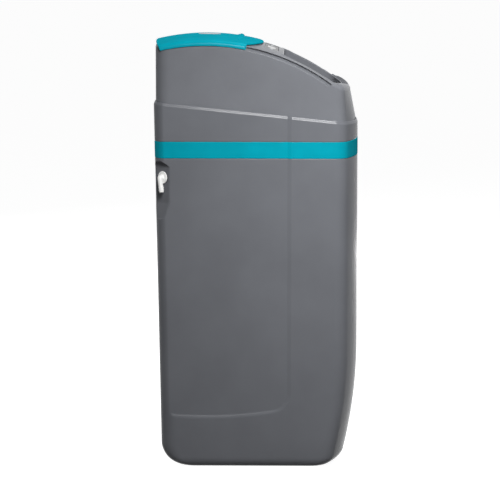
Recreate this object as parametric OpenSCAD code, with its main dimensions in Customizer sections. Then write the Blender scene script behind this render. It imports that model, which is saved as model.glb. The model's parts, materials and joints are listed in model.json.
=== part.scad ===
// Cabinet water softener: brine tank with a sliding lid, resin vessel, rotary valve and brine well.
// Millimetres, +Z up. The bowed front faces -Y. The origin is at the middle of the base.

/* [Cabinet] */
// Width of the cabinet
cab_w = 330; // [326:1:360]
// Depth of the cabinet over its bowed front
cab_d = 525; // [520:1:560]
// Height of the tank's rim at the back
rim_back_z = 948; // [930:1:980]
// Forward fall of the rim in degrees
rim_tilt = 5.85; // [4:0.05:6.5]
// Wall of the tank
tank_wall = 4.5; // [4:0.1:5.5]
// Lean of the back wall in degrees
back_draft = 1.1; // [0.6:0.1:1.2]
// How far the front bows out
front_bow = 36; // [28:1:42]
// Radius of the back corners
back_corner_r = 30; // [26:1:36]
// Radius of the front corners
front_corner_r = 36; // [28:1:44]
// Radius along the lower side edges
base_edge_r = 25; // [16:1:30]
// Radius along the lower front and back edges
base_end_r = 45; // [30:1:55]
// Radius of the long curve at the toe
toe_r = 1200; // [1100:10:1500]
// Height at which the toe curve starts
toe_z = 310; // [260:5:330]
// Depth of the recessed side panel
panel_depth = 3.5; // [2.5:0.5:4]
// Distance from the back of the cabinet to the front edge of the side panel
panel_front = 347.5; // [322.5:1:372.5]
// Lowest point of the side panel
panel_low_z = 137; // [120:1:180]

/* [Trim band] */
// Lower edge of the band
band_z = 803; // [800:1:815]
// Height of the band
band_h = 43; // [30:1:46]
// Thickness of the band
band_t = 1.6; // [1.2:0.1:2]

/* [Lid and cover] */
// Distance from the back of the cabinet to the centre of the lid's arc
arc_back = 132.5; // [128:0.5:136]
// Height of the lid's crown above the rim's back edge
crown_rise = 165; // [162:1:170]
// Radius of the lid's arc at its crown
lid_top_r = 562; // [560:0.5:568]
// Crosswise crown radius of the lid
lid_crown_r = 1480; // [1400:10:1800]
// Edge radius of the lid
lid_edge_r = 12; // [10:0.5:14]
// Wall of the lid
lid_wall = 3; // [2.5:0.1:3.2]
// Space between the lid and the deck
lid_gap = 2; // [1.8:0.1:2.5]
// Height of the lid's skirt below its crown
lid_skirt = 22.5; // [22:0.5:24]
// Travel of the lid in degrees
lid_travel = 24.8; // [23:0.1:25]
// Distance from the back of the cabinet to the front edge of the pushed-back lid
lid_front = 280.5; // [276.5:0.5:284.5]
// Radius of the lid's bowed front edge
lid_bow_r = 285; // [270:1:330]
// Wall of the top cover
cover_wall = 3.2; // [2.8:0.1:3.6]
// Width of the salt opening
opening_w = 252; // [220:1:254]
// Distance from the back of the cabinet to the salt opening
opening_back = 333.5; // [332.5:0.5:346.5]

/* [Control panel] */
// Distance from the back of the cabinet to the middle of the panel
panel_place = 301.55; // [299.5:0.05:303.5]
// Width of the panel
panel_w = 183; // [180:1:200]
// Length of the panel along the arc
panel_l = 37; // [34:1:38]
// Travel of a key
key_travel = 1.2; // [0.8:0.1:1.3]

/* [Overflow] */
// Size of the corner scoop along each wall
scoop = 45; // [42:1:48]
// Height of the overflow fitting
overflow_z = 753; // [748:1:755]
// Lean of the elbow's leg in degrees
elbow_lean = 10; // [0:1:10]

/* [Resin vessel] */
// Diameter of the resin vessel
vessel_d = 257; // [230:1:258]
// Wall of the resin vessel
vessel_wall = 3.5; // [3:0.1:4.5]
// Distance from the back of the cabinet to the vessel's axis
vessel_back = 158.5; // [157:0.5:164]
// Height of the resin above the gravel
resin_h = 480; // [380:10:560]

/* [Control valve] */
// Radius of a service port over its thread
port_r = 16.6; // [16:0.1:17]
// Radius of a service port's bore
port_bore_r = 11; // [10.5:0.1:12]
// Distance between the service ports
port_span = 76; // [72:1:80]
// Module of the drive gears
gear_mod = 1.75; // [1.7:0.01:1.78]

/* [Brine well] */
// Radius of the brine well
well_r = 45; // [42:0.5:47]
// Wall of the brine well
well_wall = 2.5; // [2:0.1:3]
// Travel of the float
float_travel = 25; // [10:1:28]
// Height of the salt grid's top
grid_top_z = 96; // [80:1:110]

/* [Hidden] */
$fn = 180;

// Reach of construction solids beyond the object
far = 1400;
over = 80;
tiny = 0.01;

// Colours of the pieces
grey = [0.38, 0.39, 0.41];
light_grey = [0.62, 0.63, 0.65];
turquoise = [0.02, 0.58, 0.66];
white = [0.93, 0.93, 0.92];
black = [0.08, 0.08, 0.09];
natural = [0.80, 0.79, 0.72];
amber = [0.72, 0.47, 0.16];
steel = [0.70, 0.71, 0.72];
noryl = [0.14, 0.14, 0.15];
green = [0.05, 0.32, 0.16];

// Cabinet plan
half_w = cab_w / 2;
half_d = cab_d / 2;
bow_r = (half_w * half_w + front_bow * front_bow) / (2 * front_bow);
toe_axis_y = toe_r - half_d;
base_ease = 0.4;
seam = 0.02;
front_steps = 24;
base_front = half_d - toe_r + sqrt(pow(toe_r, 2) - pow(toe_z - base_end_r, 2)) + base_ease;
base_back = half_d - (rim_back_z - base_end_r) * tan(back_draft) + base_ease;
panel_bow_r = 1100;
panel_corner_r = 35;
panel_mid_y = half_d - 132.5;
panel_front_y = half_d - panel_front;

// Cover plan, plugged into the rim
fit_gap = 0.9;
cover_inset = tank_wall + fit_gap;
cover_half_w = half_w - panel_depth - cover_inset;
cover_lean = 11;
plug_depth = 24;
shelf_w = 9;
shelf_t = 6;

// Lid and deck, swept about the arc's centre
arc_y = half_d - arc_back;
arc_z = rim_back_z + crown_rise - lid_top_r;
lid_front_y = half_d - lid_front;
opening_back_y = half_d - opening_back;
lid_half_w = cover_half_w - 0.3;
deck_inset = lid_wall + lid_gap;
skirt_r = lid_top_r - lid_skirt;
rebate_r = skirt_r - 1;
groove_r = skirt_r + 4;
groove_h = 4;
groove_x = lid_half_w - deck_inset - 3;
hook_gap = 0.3;
lid_back_gap = 1.6;
lid_back_angle = -asin((half_d - cover_inset - lid_back_gap - arc_y) / lid_top_r);
grip_h = 5.5;
grip_half = 72;
grip_drop = grip_h + pow(grip_half, 2) / (2 * lid_crown_r);
grip_crown_r = (pow(grip_half, 2) + pow(grip_drop, 2)) / (2 * grip_drop);
grip_place = 50;
grip_w = 12;

// Panel tray
panel_top_r = lid_top_r - deck_inset - 4;
panel_t = 2.5;
tray_wall = 3;
panel_fit = 0.4;
window_w = 56;
window_l = 22;
key_w = 11.4;
key_l = 8.4;
key_rim = 1.3;
key_place = [-71, -51, 51, 71];
panel_angle = asin((panel_place - arc_back) / panel_top_r);
board_top_r = panel_top_r - 12;
board_t = 1.6;
switch_top_r = panel_top_r - panel_t - 0.3 - 1.6 - key_travel - 0.3;

// Back opening of the cover for the pipe ports
notch_low_x = -112;
notch_high_x = 68;
notch_top_z = rim_back_z + 66;
inlet_x = 98;
inlet_z = rim_back_z + 37;

// Resin vessel
floor_z = tank_wall;
vessel_r = vessel_d / 2;
vessel_y = half_d - vessel_back;
neck_z = rim_back_z - 51;
neck_r = 40;
neck_bore_r = 32;
neck_h = 22;
dome_r = 170;
dome_edge_r = 45;
vessel_low_z = floor_z + 6;
vessel_top_z = neck_z - neck_h + 6;
cup_r = vessel_r - 4.5;
cup_bore_r = 60;
cup_top_z = vessel_low_z + 50;
foot_r = base_back - base_end_r - vessel_y - 2;
gravel_top_z = vessel_low_z + 92;
resin_top_z = gravel_top_z + resin_h;
riser_r = 13.3;
basket_r = 28;
basket_low_z = vessel_low_z + 14;
basket_top_z = basket_low_z + 60;

// Control valve, levels above the neck
drum_r = 46;
drum_top = 103;
port_level = 81;
flange_r = 58;
flange_top = 119;
chamber_r = 42;
chamber_low = 99;
seal_t = 5;
rotor_low = chamber_low + seal_t + 0.3;
rotor_t = 6;
washer_low = rotor_low + rotor_t + 0.3;
plug_low = washer_low + 1.8;
cover_top = flange_top + 8;
boss_top = cover_top + 4;
shaft_r = 7;
shaft_fit = 0.06;
gear_low = boss_top + 1.5;
gear_t = 9;
gear_top = gear_low + gear_t;
plate_low = gear_top + 6;
plate_t = 3;
plate_r = flange_r + 1;
plate_end_r = 36;
plate_bore_r = 24;
bolt_circle_r = 50;
post_circle_r = 53;
post_first = 30;
washer_r = 18;
motor_r = 24;
motor_h = 28;
gear_teeth = 50;
pinion_teeth = 14;
pressure_angle = 20;
tooth_slack = 0.3;
gear_centre = gear_mod * (gear_teeth + pinion_teeth) / 2 + 0.1;
spindle_r = 2.5;
port_end_y = half_d - cover_inset - cover_wall - 4;
drain_x = -92;
brine_level = 33;
brine_x = 84;
brine_out_y = vessel_y - 22;
hose_r = 6.5;
line_r = 4.75;
turbine_y = port_end_y - 36;

// Brine well, float and air check
well_x = half_w - 77;
well_gap = 5.6;
well_y = vessel_y - sqrt(pow(vessel_r + well_r + well_gap, 2) - pow(well_x, 2));
well_top_z = neck_z - 37;
pickup_x = well_x - 20;
rod_x = well_x + 16;
pickup_r = 5;
rod_r = 3;
rod_fit = 0.08;
stop_r = 6;
stop_h = 5;
stop_gap = 0.3;
valve_low_z = well_top_z - 80;
valve_top_z = well_top_z - 25;
arm_low_z = valve_low_z + 20;
arm_top_z = arm_low_z + 12;
float_low_z = 400;
float_h = 40;
float_r = 21;
check_low_z = 24;
check_top_z = 95;
well_elbow_z = well_top_z + 20;
line_start_y = well_y + 24;
line_seat = 14;
line_pull = 48;
line_end = 0.125;

// Salt grid
grid_t = 6;
grid_inset = 34;
leg_r = 10;
leg_gap = 3;
flat_front_y = base_end_r - base_front;
well_front_y = well_y - well_r;
front_leg_y = well_front_y + 0.58 * (flat_front_y - well_front_y);
leg_places = [
    [45 - half_w, well_y + 12], [65 - half_w, front_leg_y], [half_w - 65, front_leg_y],
    [well_x - well_r - leg_r - leg_gap, well_y - 18]
];
slot_pitch = 20;
slot_w = 6;
front_slot_y = grid_inset + 23.5 - half_d;
back_slot_y = well_y - 82;

// Overflow fitting, in a frame on the scoop's flat
scoop_half = 32;
scoop_arch_z = 7;
scoop_low = 93;
ramp_start = 60;
overflow_hole_r = 10.2;
fitting_shift = 4.5;
nut_r = 17;
elbow_reach = 12.5;

// A flat region with straight sides, a bowed far end and rounded corners at that end
module bowed_end(half, apex, end_r, corner_r, depth) {
    bow_c = apex - end_r;
    corner_u = half - corner_r;
    corner_v = bow_c + sqrt(pow(end_r - corner_r, 2) - pow(corner_u, 2));
    reach = end_r / (end_r - corner_r);
    tan_u = corner_u * reach;
    tan_v = bow_c + (corner_v - bow_c) * reach;
    polygon([
        [-half, apex - depth], [half, apex - depth], [half, corner_v],
        [tan_u, tan_v], [-tan_u, tan_v], [-half, corner_v]
    ]);
    for (side = [-1, 1])
        translate([side * corner_u, corner_v]) circle(corner_r - seam);
    intersection() {
        translate([0, bow_c]) circle(end_r);
        translate([-tan_u, tan_v]) square([2 * tan_u, end_r]);
    }
}

// Points along an arc
function arc_points(centre, radius, from_angle, to_angle, steps) = [
    for (step = [0 : steps])
        centre + radius * [
            cos(from_angle + (to_angle - from_angle) * step / steps),
            sin(from_angle + (to_angle - from_angle) * step / steps)
        ]
];

// The same bowed end as a chain of points, from its left side round to its right side
function bowed_points(half, apex, end_r, corner_r, steps) =
    let (
        bow_c = apex - end_r,
        corner_u = half - corner_r,
        corner_v = bow_c + sqrt(pow(end_r - corner_r, 2) - pow(corner_u, 2)),
        turn = atan2(corner_v - bow_c, corner_u),
        bow = arc_points([0, bow_c], end_r, turn, 180 - turn, steps)
    )
    concat(
        arc_points([corner_u, corner_v], corner_r, 0, turn, 6),
        [for (step = [1 : steps - 1]) bow[step]],
        arc_points([-corner_u, corner_v], corner_r, 180 - turn, 180, 6)
    );

// A flat strip that ends in a bowed end
module bowed_strip(half, apex, end_r, corner_r, depth, steps = 16) {
    polygon(concat(
        bowed_points(half, apex, end_r, corner_r, steps),
        [[-half, apex - depth], [half, apex - depth]]
    ));
}

// Bowed front of the cabinet's outline, moved in by inset, with sides that run on past the back
module front_plan(inset, side_cut = 0) {
    rotate(180)
        bowed_strip(half_w - side_cut - inset, half_d - inset, bow_r - inset, front_corner_r - inset,
                    cab_d + over, front_steps);
}

// Back of the cabinet's outline, moved in by inset, with sides that run on past the front
module back_plan(inset, side_cut = 0) {
    side_x = half_w - side_cut;
    corner_x = side_x - back_corner_r;
    corner_y = half_d - back_corner_r;
    translate([inset - side_x, -half_d - over])
        square([2 * (side_x - inset), corner_y + half_d + over]);
    translate([-corner_x, -half_d - over])
        square([2 * corner_x, cab_d - inset + over]);
    for (side = [-1, 1])
        translate([side * corner_x, corner_y]) circle(back_corner_r - inset);
}

// Everything below a plane parallel to the rim
module below_rim(drop) {
    translate([0, half_d, rim_back_z])
        rotate([rim_tilt, 0, 0])
            translate([-far / 2, -far / 2, -far - drop])
                cube([far, far, far]);
}

// Upright cross-section with rounded lower corners, wider by spread above them
module round_base(half_low, half_high, low, radius, spread = 0) {
    translate([-half_low - spread, low + radius])
        square([half_low + half_high + 2 * spread, far]);
    translate([-half_low + radius, low])
        square([half_low + half_high - 2 * radius, radius + tiny]);
    translate([-half_low + radius, low + radius])
        circle(radius);
    translate([half_high - radius, low + radius])
        circle(radius);
}

// Solid form of the cabinet, moved in by inset
module body_form(inset, side_cut = 0) {
    side = half_w - side_cut - inset;
    edge_r = base_edge_r - inset;
    end_r = base_end_r - inset;
    intersection() {
        union() {
            translate([0, 0, toe_z])
                linear_extrude(far - toe_z)
                    front_plan(inset, side_cut);
            translate([0, toe_axis_y, toe_z])
                rotate([-90, 0, 0])
                    rotate([0, 90, 0])
                        rotate_extrude(angle = 32)
                            translate([toe_axis_y, 0])
                                rotate(90)
                                    front_plan(inset, side_cut);
        }
        translate([0, half_d, rim_back_z])
            rotate([-back_draft, 0, 0])
                translate([0, -half_d, -rim_back_z - over])
                    linear_extrude(far)
                        back_plan(inset, side_cut);
        translate([0, far / 2, 0])
            rotate([90, 0, 0])
                linear_extrude(far)
                    round_base(side, side, inset, edge_r);
        translate([-far / 2, 0, 0])
            rotate([90, 0, 90])
                linear_extrude(far)
                    round_base(base_front - inset, base_back - inset, inset, end_r, over);
    }
}

// Outline of the recessed side panel, drawn with x along the depth and y up
module panel_outline(inset) {
    translate([panel_mid_y, 0])
        rotate(180)
            bowed_end(panel_mid_y - panel_front_y + inset, -(panel_low_z - inset),
                      panel_bow_r + inset, panel_corner_r + inset, far - panel_low_z);
}

// The recesses on both sides
module side_panels(inset) {
    for (side = [-1, 1])
        translate([side * (half_w - panel_depth - inset + over / 2), 0, 0])
            rotate([90, 0, 90])
                translate([0, 0, -over / 2])
                    linear_extrude(over)
                        panel_outline(inset);
}

// Outside of the tank with its side panels
module skin(inset) {
    difference() {
        body_form(inset);
        side_panels(inset);
    }
}

// A level slab across the whole cabinet
module slab(low, high) {
    translate([-far / 2, -far / 2, low])
        cube([far, far, high - low]);
}

// Frame on the scoop's flat: x along the flat, y outwards, z up
module at_overflow() {
    translate([-(half_w - scoop / 2), half_d - scoop / 2, overflow_z])
        rotate([0, 0, 45])
            children();
}

// Frame of the overflow fitting, a little forward on the scoop's flat
module at_fitting() {
    at_overflow()
        translate([-fitting_shift, 0, 0])
            children();
}

// Cylinder from one y to another along the y axis
module rod_y(radius, from_y, to_y) {
    translate([0, to_y, 0])
        rotate([90, 0, 0])
            cylinder(r = radius, h = to_y - from_y);
}

// Cylinder from one x to another along the x axis
module rod_x(radius, from_x, to_x) {
    translate([from_x, 0, 0])
        rotate([0, 90, 0])
            cylinder(r = radius, h = to_x - from_x);
}

// Upright tube
module tube(outer_r, inner_r, low, high) {
    translate([0, 0, low])
        difference() {
            cylinder(r = outer_r, h = high - low);
            translate([0, 0, -1])
                cylinder(r = inner_r, h = high - low + 2);
        }
}

// Space of the corner scoop
module scoop_space() {
    at_overflow()
        intersection() {
            translate([0, over, 0])
                rotate([90, 0, 0])
                    linear_extrude(over) {
                        translate([-scoop_half, -scoop_low])
                            square([2 * scoop_half, scoop_low + scoop_arch_z]);
                        translate([0, scoop_arch_z])
                            circle(scoop_half);
                    }
            translate([-over, 0, 0])
                rotate([90, 0, 90])
                    linear_extrude(2 * over)
                        polygon([
                            [-1, -ramp_start], [0, -ramp_start], [20, -scoop_low],
                            [over, -scoop_low], [over, over], [-1, over]
                        ]);
        }
}

// Solid kept behind the scoop so that the wall runs on around it
module scoop_backing() {
    at_overflow()
        translate([-1.6 * scoop, -tank_wall, -scoop_low - tank_wall])
            cube([3.2 * scoop, over, scoop_low + scoop_arch_z + scoop_half + 2 * tank_wall]);
}

module cabinet_tank() {
    color(grey)
        difference() {
            intersection() {
                skin(0);
                below_rim(0);
            }
            difference() {
                body_form(tank_wall, panel_depth);
                scoop_backing();
                intersection() {
                    below_rim(plug_depth);
                    difference() {
                        slab(rim_back_z - 140, rim_back_z);
                        below_rim(plug_depth + shelf_t);
                        linear_extrude(far)
                            intersection() {
                                front_plan(tank_wall + shelf_w, panel_depth);
                                back_plan(tank_wall + shelf_w, panel_depth);
                            }
                    }
                }
            }
            intersection() {
                slab(band_z, band_z + band_h);
                difference() {
                    slab(0, far);
                    skin(band_t - 0.3);
                }
            }
            scoop_space();
            at_fitting()
                rod_y(overflow_hole_r, -tank_wall - 2, 2);
            for (side = [-1, 1])
                translate([side * 100, 0, rim_back_z - 13]) {
                    rod_y(2.2, half_d - 20, half_d + 1);
                    rod_y(5.2, half_d - 2.4, half_d + 1);
                }
        }
}

module trim_band() {
    color(turquoise)
        intersection() {
            slab(band_z + 0.15, band_z + band_h - 0.15);
            difference() {
                skin(-0.3);
                skin(band_t - 0.3);
            }
        }
}

// Sweep of a section about the centre of the lid's arc, between two angles forward of upright
module arc_sweep(from_angle, to_angle) {
    translate([0, arc_y, arc_z])
        rotate([0, -90, 0])
            rotate([0, 0, -to_angle])
                rotate_extrude(angle = to_angle - from_angle)
                    rotate(-90)
                        children();
}

// Section of the lid's top, moved in by inset, drawn with y as radius
module lid_section(inset, depth) {
    bowed_strip(lid_half_w - inset, lid_top_r - inset, lid_crown_r - inset, lid_edge_r - inset, depth);
}

// Frame at an angle along the arc: z is the radius, y runs to the back
module at_arc(angle) {
    translate([0, arc_y, arc_z])
        rotate([angle, 0, 0])
            children();
}

// Upright round whose front is the lid's bowed edge, moved in by inset
module lid_bow(inset) {
    translate([0, lid_front_y, arc_z])
        linear_extrude(lid_top_r + over)
            rotate(180)
                bowed_strip(half_w + 20, -inset, lid_bow_r - inset, 10, 3 * far / 4, 24);
}

// The same round after the lid has travelled to its front stop
module closed_bow(inset) {
    at_arc(lid_travel)
        translate([0, -arc_y, -arc_z])
            lid_bow(inset);
}

// Section of the lid with its skirts and the hooks that run in the cover's grooves
module lid_profile() {
    intersection() {
        difference() {
            lid_section(0, 60);
            lid_section(lid_wall, 80);
        }
        translate([-far / 2, skirt_r])
            square([far, over]);
    }
    for (side = [-1, 1])
        translate([side * (groove_x + 0.8 + 2.6) - 2.6, groove_r + hook_gap])
            square([5.2, groove_h - 2 * hook_gap]);
}

module slide_lid() {
    color(turquoise) {
        intersection() {
            arc_sweep(lid_back_angle, 24)
                lid_profile();
            lid_bow(0);
        }
        intersection() {
            arc_sweep(-8, 20)
                difference() {
                    bowed_strip(grip_half + 18, lid_top_r + grip_h, grip_crown_r, 10, 30);
                    lid_section(1, 60);
                }
            difference() {
                lid_bow(grip_place);
                lid_bow(grip_place + grip_w);
            }
        }
    }
}

module lid_badge() {
    color(light_grey)
        intersection() {
            arc_sweep(-6, 6)
                difference() {
                    lid_section(-1, 60);
                    lid_section(0, 80);
                }
            translate([0, arc_y - 8, arc_z])
                linear_extrude(far) {
                    square([38, 22], center = true);
                    for (end = [-1, 1])
                        translate([0, end * 10])
                            circle(19);
                }
        }
}

// Outline of the cover seen from above, moved in by inset
module cover_plan(inset) {
    side = cover_half_w - inset;
    front = half_d - cover_inset - inset;
    corner = back_corner_r - cover_inset - inset;
    corner_x = side - corner;
    corner_y = front - corner;
    polygon(concat(
        [for (point = bowed_points(side, front, bow_r - cover_inset - inset, front_corner_r - cover_inset, 20))
            -point],
        arc_points([corner_x, corner_y], corner, 0, 90, 8),
        arc_points([-corner_x, corner_y], corner, 90, 180, 8)
    ));
}

// Leaning bow that shapes the front of the cover
module cover_front(inset) {
    translate([0, cover_inset - half_d, rim_back_z - 52])
        rotate([-cover_lean, 0, 0])
            translate([0, inset, -far / 4])
                linear_extrude(far / 2)
                    rotate(180)
                        bowed_strip(half_w + 40, 0, bow_r - cover_inset - inset, 10, 3 * far / 4, 31);
}

// Solid form of the cover
module cover_form() {
    intersection() {
        linear_extrude(far)
            cover_plan(0);
        cover_front(0);
        arc_sweep(-32, 64)
            bowed_strip(cover_half_w - 0.05, lid_top_r, lid_crown_r, lid_edge_r, 280);
    }
}

// Space inside the cover, narrower behind the rails
module cover_space() {
    intersection() {
        linear_extrude(far)
            cover_plan(cover_wall);
        cover_front(cover_wall);
        arc_sweep(-34, 66)
            union() {
                bowed_strip(groove_x - cover_wall, lid_top_r - deck_inset - cover_wall,
                            lid_crown_r - deck_inset - cover_wall, 6, 270);
                translate([-half_w - 20, lid_top_r - 282])
                    square([2 * half_w + 40, 282 - lid_skirt - 1 - cover_wall]);
            }
    }
}

// Outline of the salt opening, moved out by grow
module opening_outline(grow) {
    half = opening_w / 2 + grow;
    front = half_d - 42.5 + grow;
    back = -opening_back_y - grow;
    corner = 15 + grow;
    rotate(180)
        polygon(concat(
            bowed_points(half, front, 345 + grow, 25 + grow, 18),
            arc_points([corner - half, back + corner], corner, 180, 270, 6),
            arc_points([half - corner, back + corner], corner, 270, 360, 6)
        ));
}

// Space that the travelling lid needs above the deck
module lid_space() {
    intersection() {
        arc_sweep(-32, 64) {
            difference() {
                translate([-far / 4, rebate_r])
                    square([far / 2, over]);
                lid_section(deck_inset, 60);
            }
            for (side = [-1, 1])
                translate([side * (groove_x + 20) - 20, groove_r])
                    square([40, groove_h]);
        }
        closed_bow(-1);
    }
}

// Frame on the control panel: z is the radius of the arc
module at_panel() {
    at_arc(panel_angle)
        children();
}

module top_cover() {
    color(grey)
        difference() {
            union() {
                difference() {
                    cover_form();
                    below_rim(plug_depth);
                    cover_space();
                    lid_space();
                }
                intersection() {
                    linear_extrude(far)
                        opening_outline(cover_wall);
                    arc_sweep(12, 60)
                        intersection() {
                            lid_section(deck_inset + 1, 60);
                            translate([-far / 4, lid_top_r - 44])
                                square([far / 2, over]);
                        }
                }
                at_panel() {
                    translate([-panel_w / 2 - tray_wall, -panel_l / 2 - tray_wall,
                               panel_top_r - panel_t - tray_wall])
                        cube([panel_w + 2 * tray_wall, panel_l + 2 * tray_wall, tray_wall + panel_t]);
                    for (side = [-1, 1])
                        for (end = [-1, 1])
                            translate([side * (panel_w / 2 - 4), end * 9, board_top_r])
                                cylinder(r = 3.5, h = panel_top_r - panel_t - board_top_r - 1);
                }
            }
            linear_extrude(far)
                opening_outline(0);
            at_panel() {
                translate([-panel_w / 2, -panel_l / 2, panel_top_r - panel_t])
                    cube([panel_w, panel_l, over]);
                translate([-panel_w / 2 + 7.5, -13, panel_top_r - over / 2])
                    cube([panel_w - 15, 26, over]);
                for (side = [-1, 1])
                    for (end = [-1, 1])
                        translate([side * (panel_w / 2 - 4), end * 9, board_top_r - 1])
                            cylinder(r = 1.5, h = 7);
            }
            translate([notch_low_x, half_d - 40, rim_back_z - 60])
                cube([notch_high_x - notch_low_x, over, notch_top_z - rim_back_z + 60]);
            translate([inlet_x, 0, inlet_z])
                rod_y(6.2, half_d - 40, half_d);
            for (side = [-1, 1])
                translate([side * 100, 0, rim_back_z - 13])
                    rod_y(2, half_d - 30, half_d);
        }
}

module control_panel() {
    color(black)
        at_panel()
            difference() {
                translate([panel_fit - panel_w / 2, panel_fit - panel_l / 2, panel_top_r - panel_t])
                    cube([panel_w - 2 * panel_fit, panel_l - 2 * panel_fit, panel_t]);
                translate([0, 0, panel_top_r])
                    cube([window_w, window_l, 3 * panel_t], center = true);
                for (place = key_place)
                    translate([place, 0, panel_top_r])
                        cube([key_w + 0.6, key_l + 0.6, 3 * panel_t], center = true);
            }
}

module display_window() {
    color(light_grey)
        at_panel()
            translate([0.2 - window_w / 2, 0.2 - window_l / 2, panel_top_r - panel_t])
                cube([window_w - 0.4, window_l - 0.4, panel_t - 0.2]);
}

module display_module() {
    color(natural)
        at_panel()
            translate([-30, -12, board_top_r])
                cube([60, 24, panel_top_r - panel_t - board_top_r]);
}

module control_board() {
    color(green)
        at_panel()
            difference() {
                translate([0.5 - panel_w / 2, -14, board_top_r - board_t])
                    cube([panel_w - 1, 28, board_t]);
                board_screw_places()
                    translate([0, 0, board_top_r - 2 * board_t])
                        cylinder(r = 1.7, h = 3 * board_t);
            }
}

// Places of the four screws under the board
module board_screw_places() {
    for (side = [-1, 1])
        for (end = [-1, 1])
            translate([side * (panel_w / 2 - 4), end * 9, 0])
                children();
}

module key_switches() {
    color(black)
        at_panel()
            for (place = key_place)
                translate([place - 3, -3, board_top_r])
                    cube([6, 6, switch_top_r - board_top_r]);
}

module board_screws() {
    color(steel)
        at_panel()
            board_screw_places() {
                translate([0, 0, board_top_r - board_t])
                    cylinder(r = 1.5, h = board_t + 5);
                translate([0, 0, board_top_r - board_t - 2])
                    cylinder(r = 3, h = 2);
            }
}

// One key with the rim that keeps it under the panel
module panel_key(place) {
    rim_top = panel_top_r - panel_t - 0.3;
    color(light_grey)
        at_panel() {
            translate([place - key_w / 2, -key_l / 2, rim_top - tiny])
                cube([key_w, key_l, panel_t + 1.1]);
            translate([place - key_w / 2 - key_rim, -key_l / 2 - key_rim, rim_top - 1.6])
                cube([key_w + 2 * key_rim, key_l + 2 * key_rim, 1.6]);
        }
}

module key_menu() {
    panel_key(key_place[0]);
}

module key_down() {
    panel_key(key_place[1]);
}

module key_up() {
    panel_key(key_place[2]);
}

module key_regen() {
    panel_key(key_place[3]);
}

// Downward leg of the overflow elbow
module elbow_leg(radius, from_z, length) {
    translate([0, elbow_reach, 0])
        rotate([0, elbow_lean, 0])
            translate([0, 0, -from_z - length])
                cylinder(r = radius, h = length);
}

module overflow_elbow() {
    color(white)
        at_fitting()
            difference() {
                union() {
                    rod_y(16, 2, 5);
                    rod_y(9.9, -tank_wall - 12, 3);
                    rod_y(7.3, 4, elbow_reach);
                    translate([0, elbow_reach, 0])
                        sphere(7.8);
                    elbow_leg(6, 0, 38);
                    elbow_leg(6.9, 31, 3);
                    elbow_leg(6.9, 25, 3);
                }
                rod_y(4.2, -tank_wall - 14, elbow_reach);
                translate([0, elbow_reach, 0])
                    sphere(4.6);
                elbow_leg(4.1, 0, 40);
            }
}

module overflow_gasket() {
    color(black)
        at_fitting()
            difference() {
                rod_y(15.5, 0, 2);
                rod_y(overflow_hole_r, -1, 3);
            }
}

module overflow_nut() {
    color(white)
        at_fitting()
            difference() {
                translate([0, -tank_wall, 0])
                    rotate([90, 0, 0])
                        cylinder(r = nut_r, h = 8, $fn = 6);
                rod_y(9.9, -tank_wall - 10, 0);
            }
}

module cover_screws() {
    color(steel)
        for (side = [-1, 1])
            translate([side * 100, 0, rim_back_z - 13]) {
                rod_y(4.8, half_d - 2.4, half_d - 0.5);
                rod_y(2, half_d - 16, half_d - 2.4);
            }
}

module power_inlet() {
    outside = half_d - cover_inset;
    inside = outside - cover_wall;
    color(black)
        translate([inlet_x, 0, inlet_z])
            difference() {
                union() {
                    rod_y(9, outside, outside + 1.5);
                    rod_y(6, inside - 9, outside + tiny);
                    rod_y(9, inside - 3.5, inside);
                }
                difference() {
                    rod_y(3, outside - 9, outside + 2);
                    rod_y(1, outside - 10, outside - 1);
                }
            }
}

// Upright section of the vessel's pressure shell, moved in by inset
module vessel_section(inset) {
    intersection() {
        polygon(concat(
            bowed_points(vessel_r - inset, vessel_top_z - inset, dome_r - inset, dome_edge_r - inset, 24),
            [for (point = bowed_points(vessel_r - inset, -vessel_low_z - inset, dome_r - inset,
                                       dome_edge_r - inset, 24))
                -point]
        ));
        translate([0, -over])
            square([far, 2 * far]);
    }
}

module at_vessel() {
    translate([0, vessel_y, 0])
        children();
}

module at_valve() {
    translate([0, vessel_y, neck_z])
        children();
}

module resin_vessel() {
    color(natural)
        at_vessel()
            rotate_extrude()
                difference() {
                    union() {
                        vessel_section(0);
                        translate([0, vessel_top_z - 14])
                            square([neck_r, neck_z - vessel_top_z + 14]);
                    }
                    vessel_section(vessel_wall);
                    translate([0, vessel_top_z - 30])
                        square([neck_bore_r, far]);
                }
}

module vessel_base() {
    color(black)
        at_vessel()
            rotate_extrude()
                difference() {
                    polygon([
                        [cup_bore_r, floor_z], [foot_r, floor_z], [cup_r, floor_z + cup_r - foot_r],
                        [cup_r, cup_top_z], [cup_bore_r, cup_top_z]
                    ]);
                    vessel_section(0);
                }
}

// A filling of the vessel between two heights
module vessel_fill(low, high) {
    at_vessel()
        rotate_extrude()
            intersection() {
                vessel_section(vessel_wall);
                translate([riser_r, low])
                    square([far, high - low]);
            }
}

module resin_bed() {
    color(amber)
        vessel_fill(gravel_top_z, resin_top_z);
}

module gravel_bed() {
    color(natural)
        difference() {
            vessel_fill(0, gravel_top_z);
            at_vessel()
                translate([0, 0, basket_low_z])
                    cylinder(r = basket_r, h = basket_top_z - basket_low_z);
            at_vessel()
                cylinder(r = riser_r + 2, h = basket_low_z + 1);
        }
}

module riser_tube() {
    color(white)
        at_vessel()
            tube(riser_r, riser_r - 2.3, basket_top_z - 22, neck_z + 20);
}

module bottom_distributor() {
    color(black)
        at_vessel()
            difference() {
                tube(basket_r, riser_r, basket_low_z, basket_top_z);
                for (row = [0 : 5])
                    tube(basket_r + 1, basket_r - 4, basket_low_z + 6 + 8 * row, basket_low_z + 7.2 + 8 * row);
            }
}

module top_distributor() {
    color(black)
        at_valve()
            difference() {
                tube(24, riser_r + 0.4, -64, -24);
                for (row = [0 : 4])
                    tube(25, 20, -58 + 6 * row, -56.8 + 6 * row);
            }
}

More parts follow.
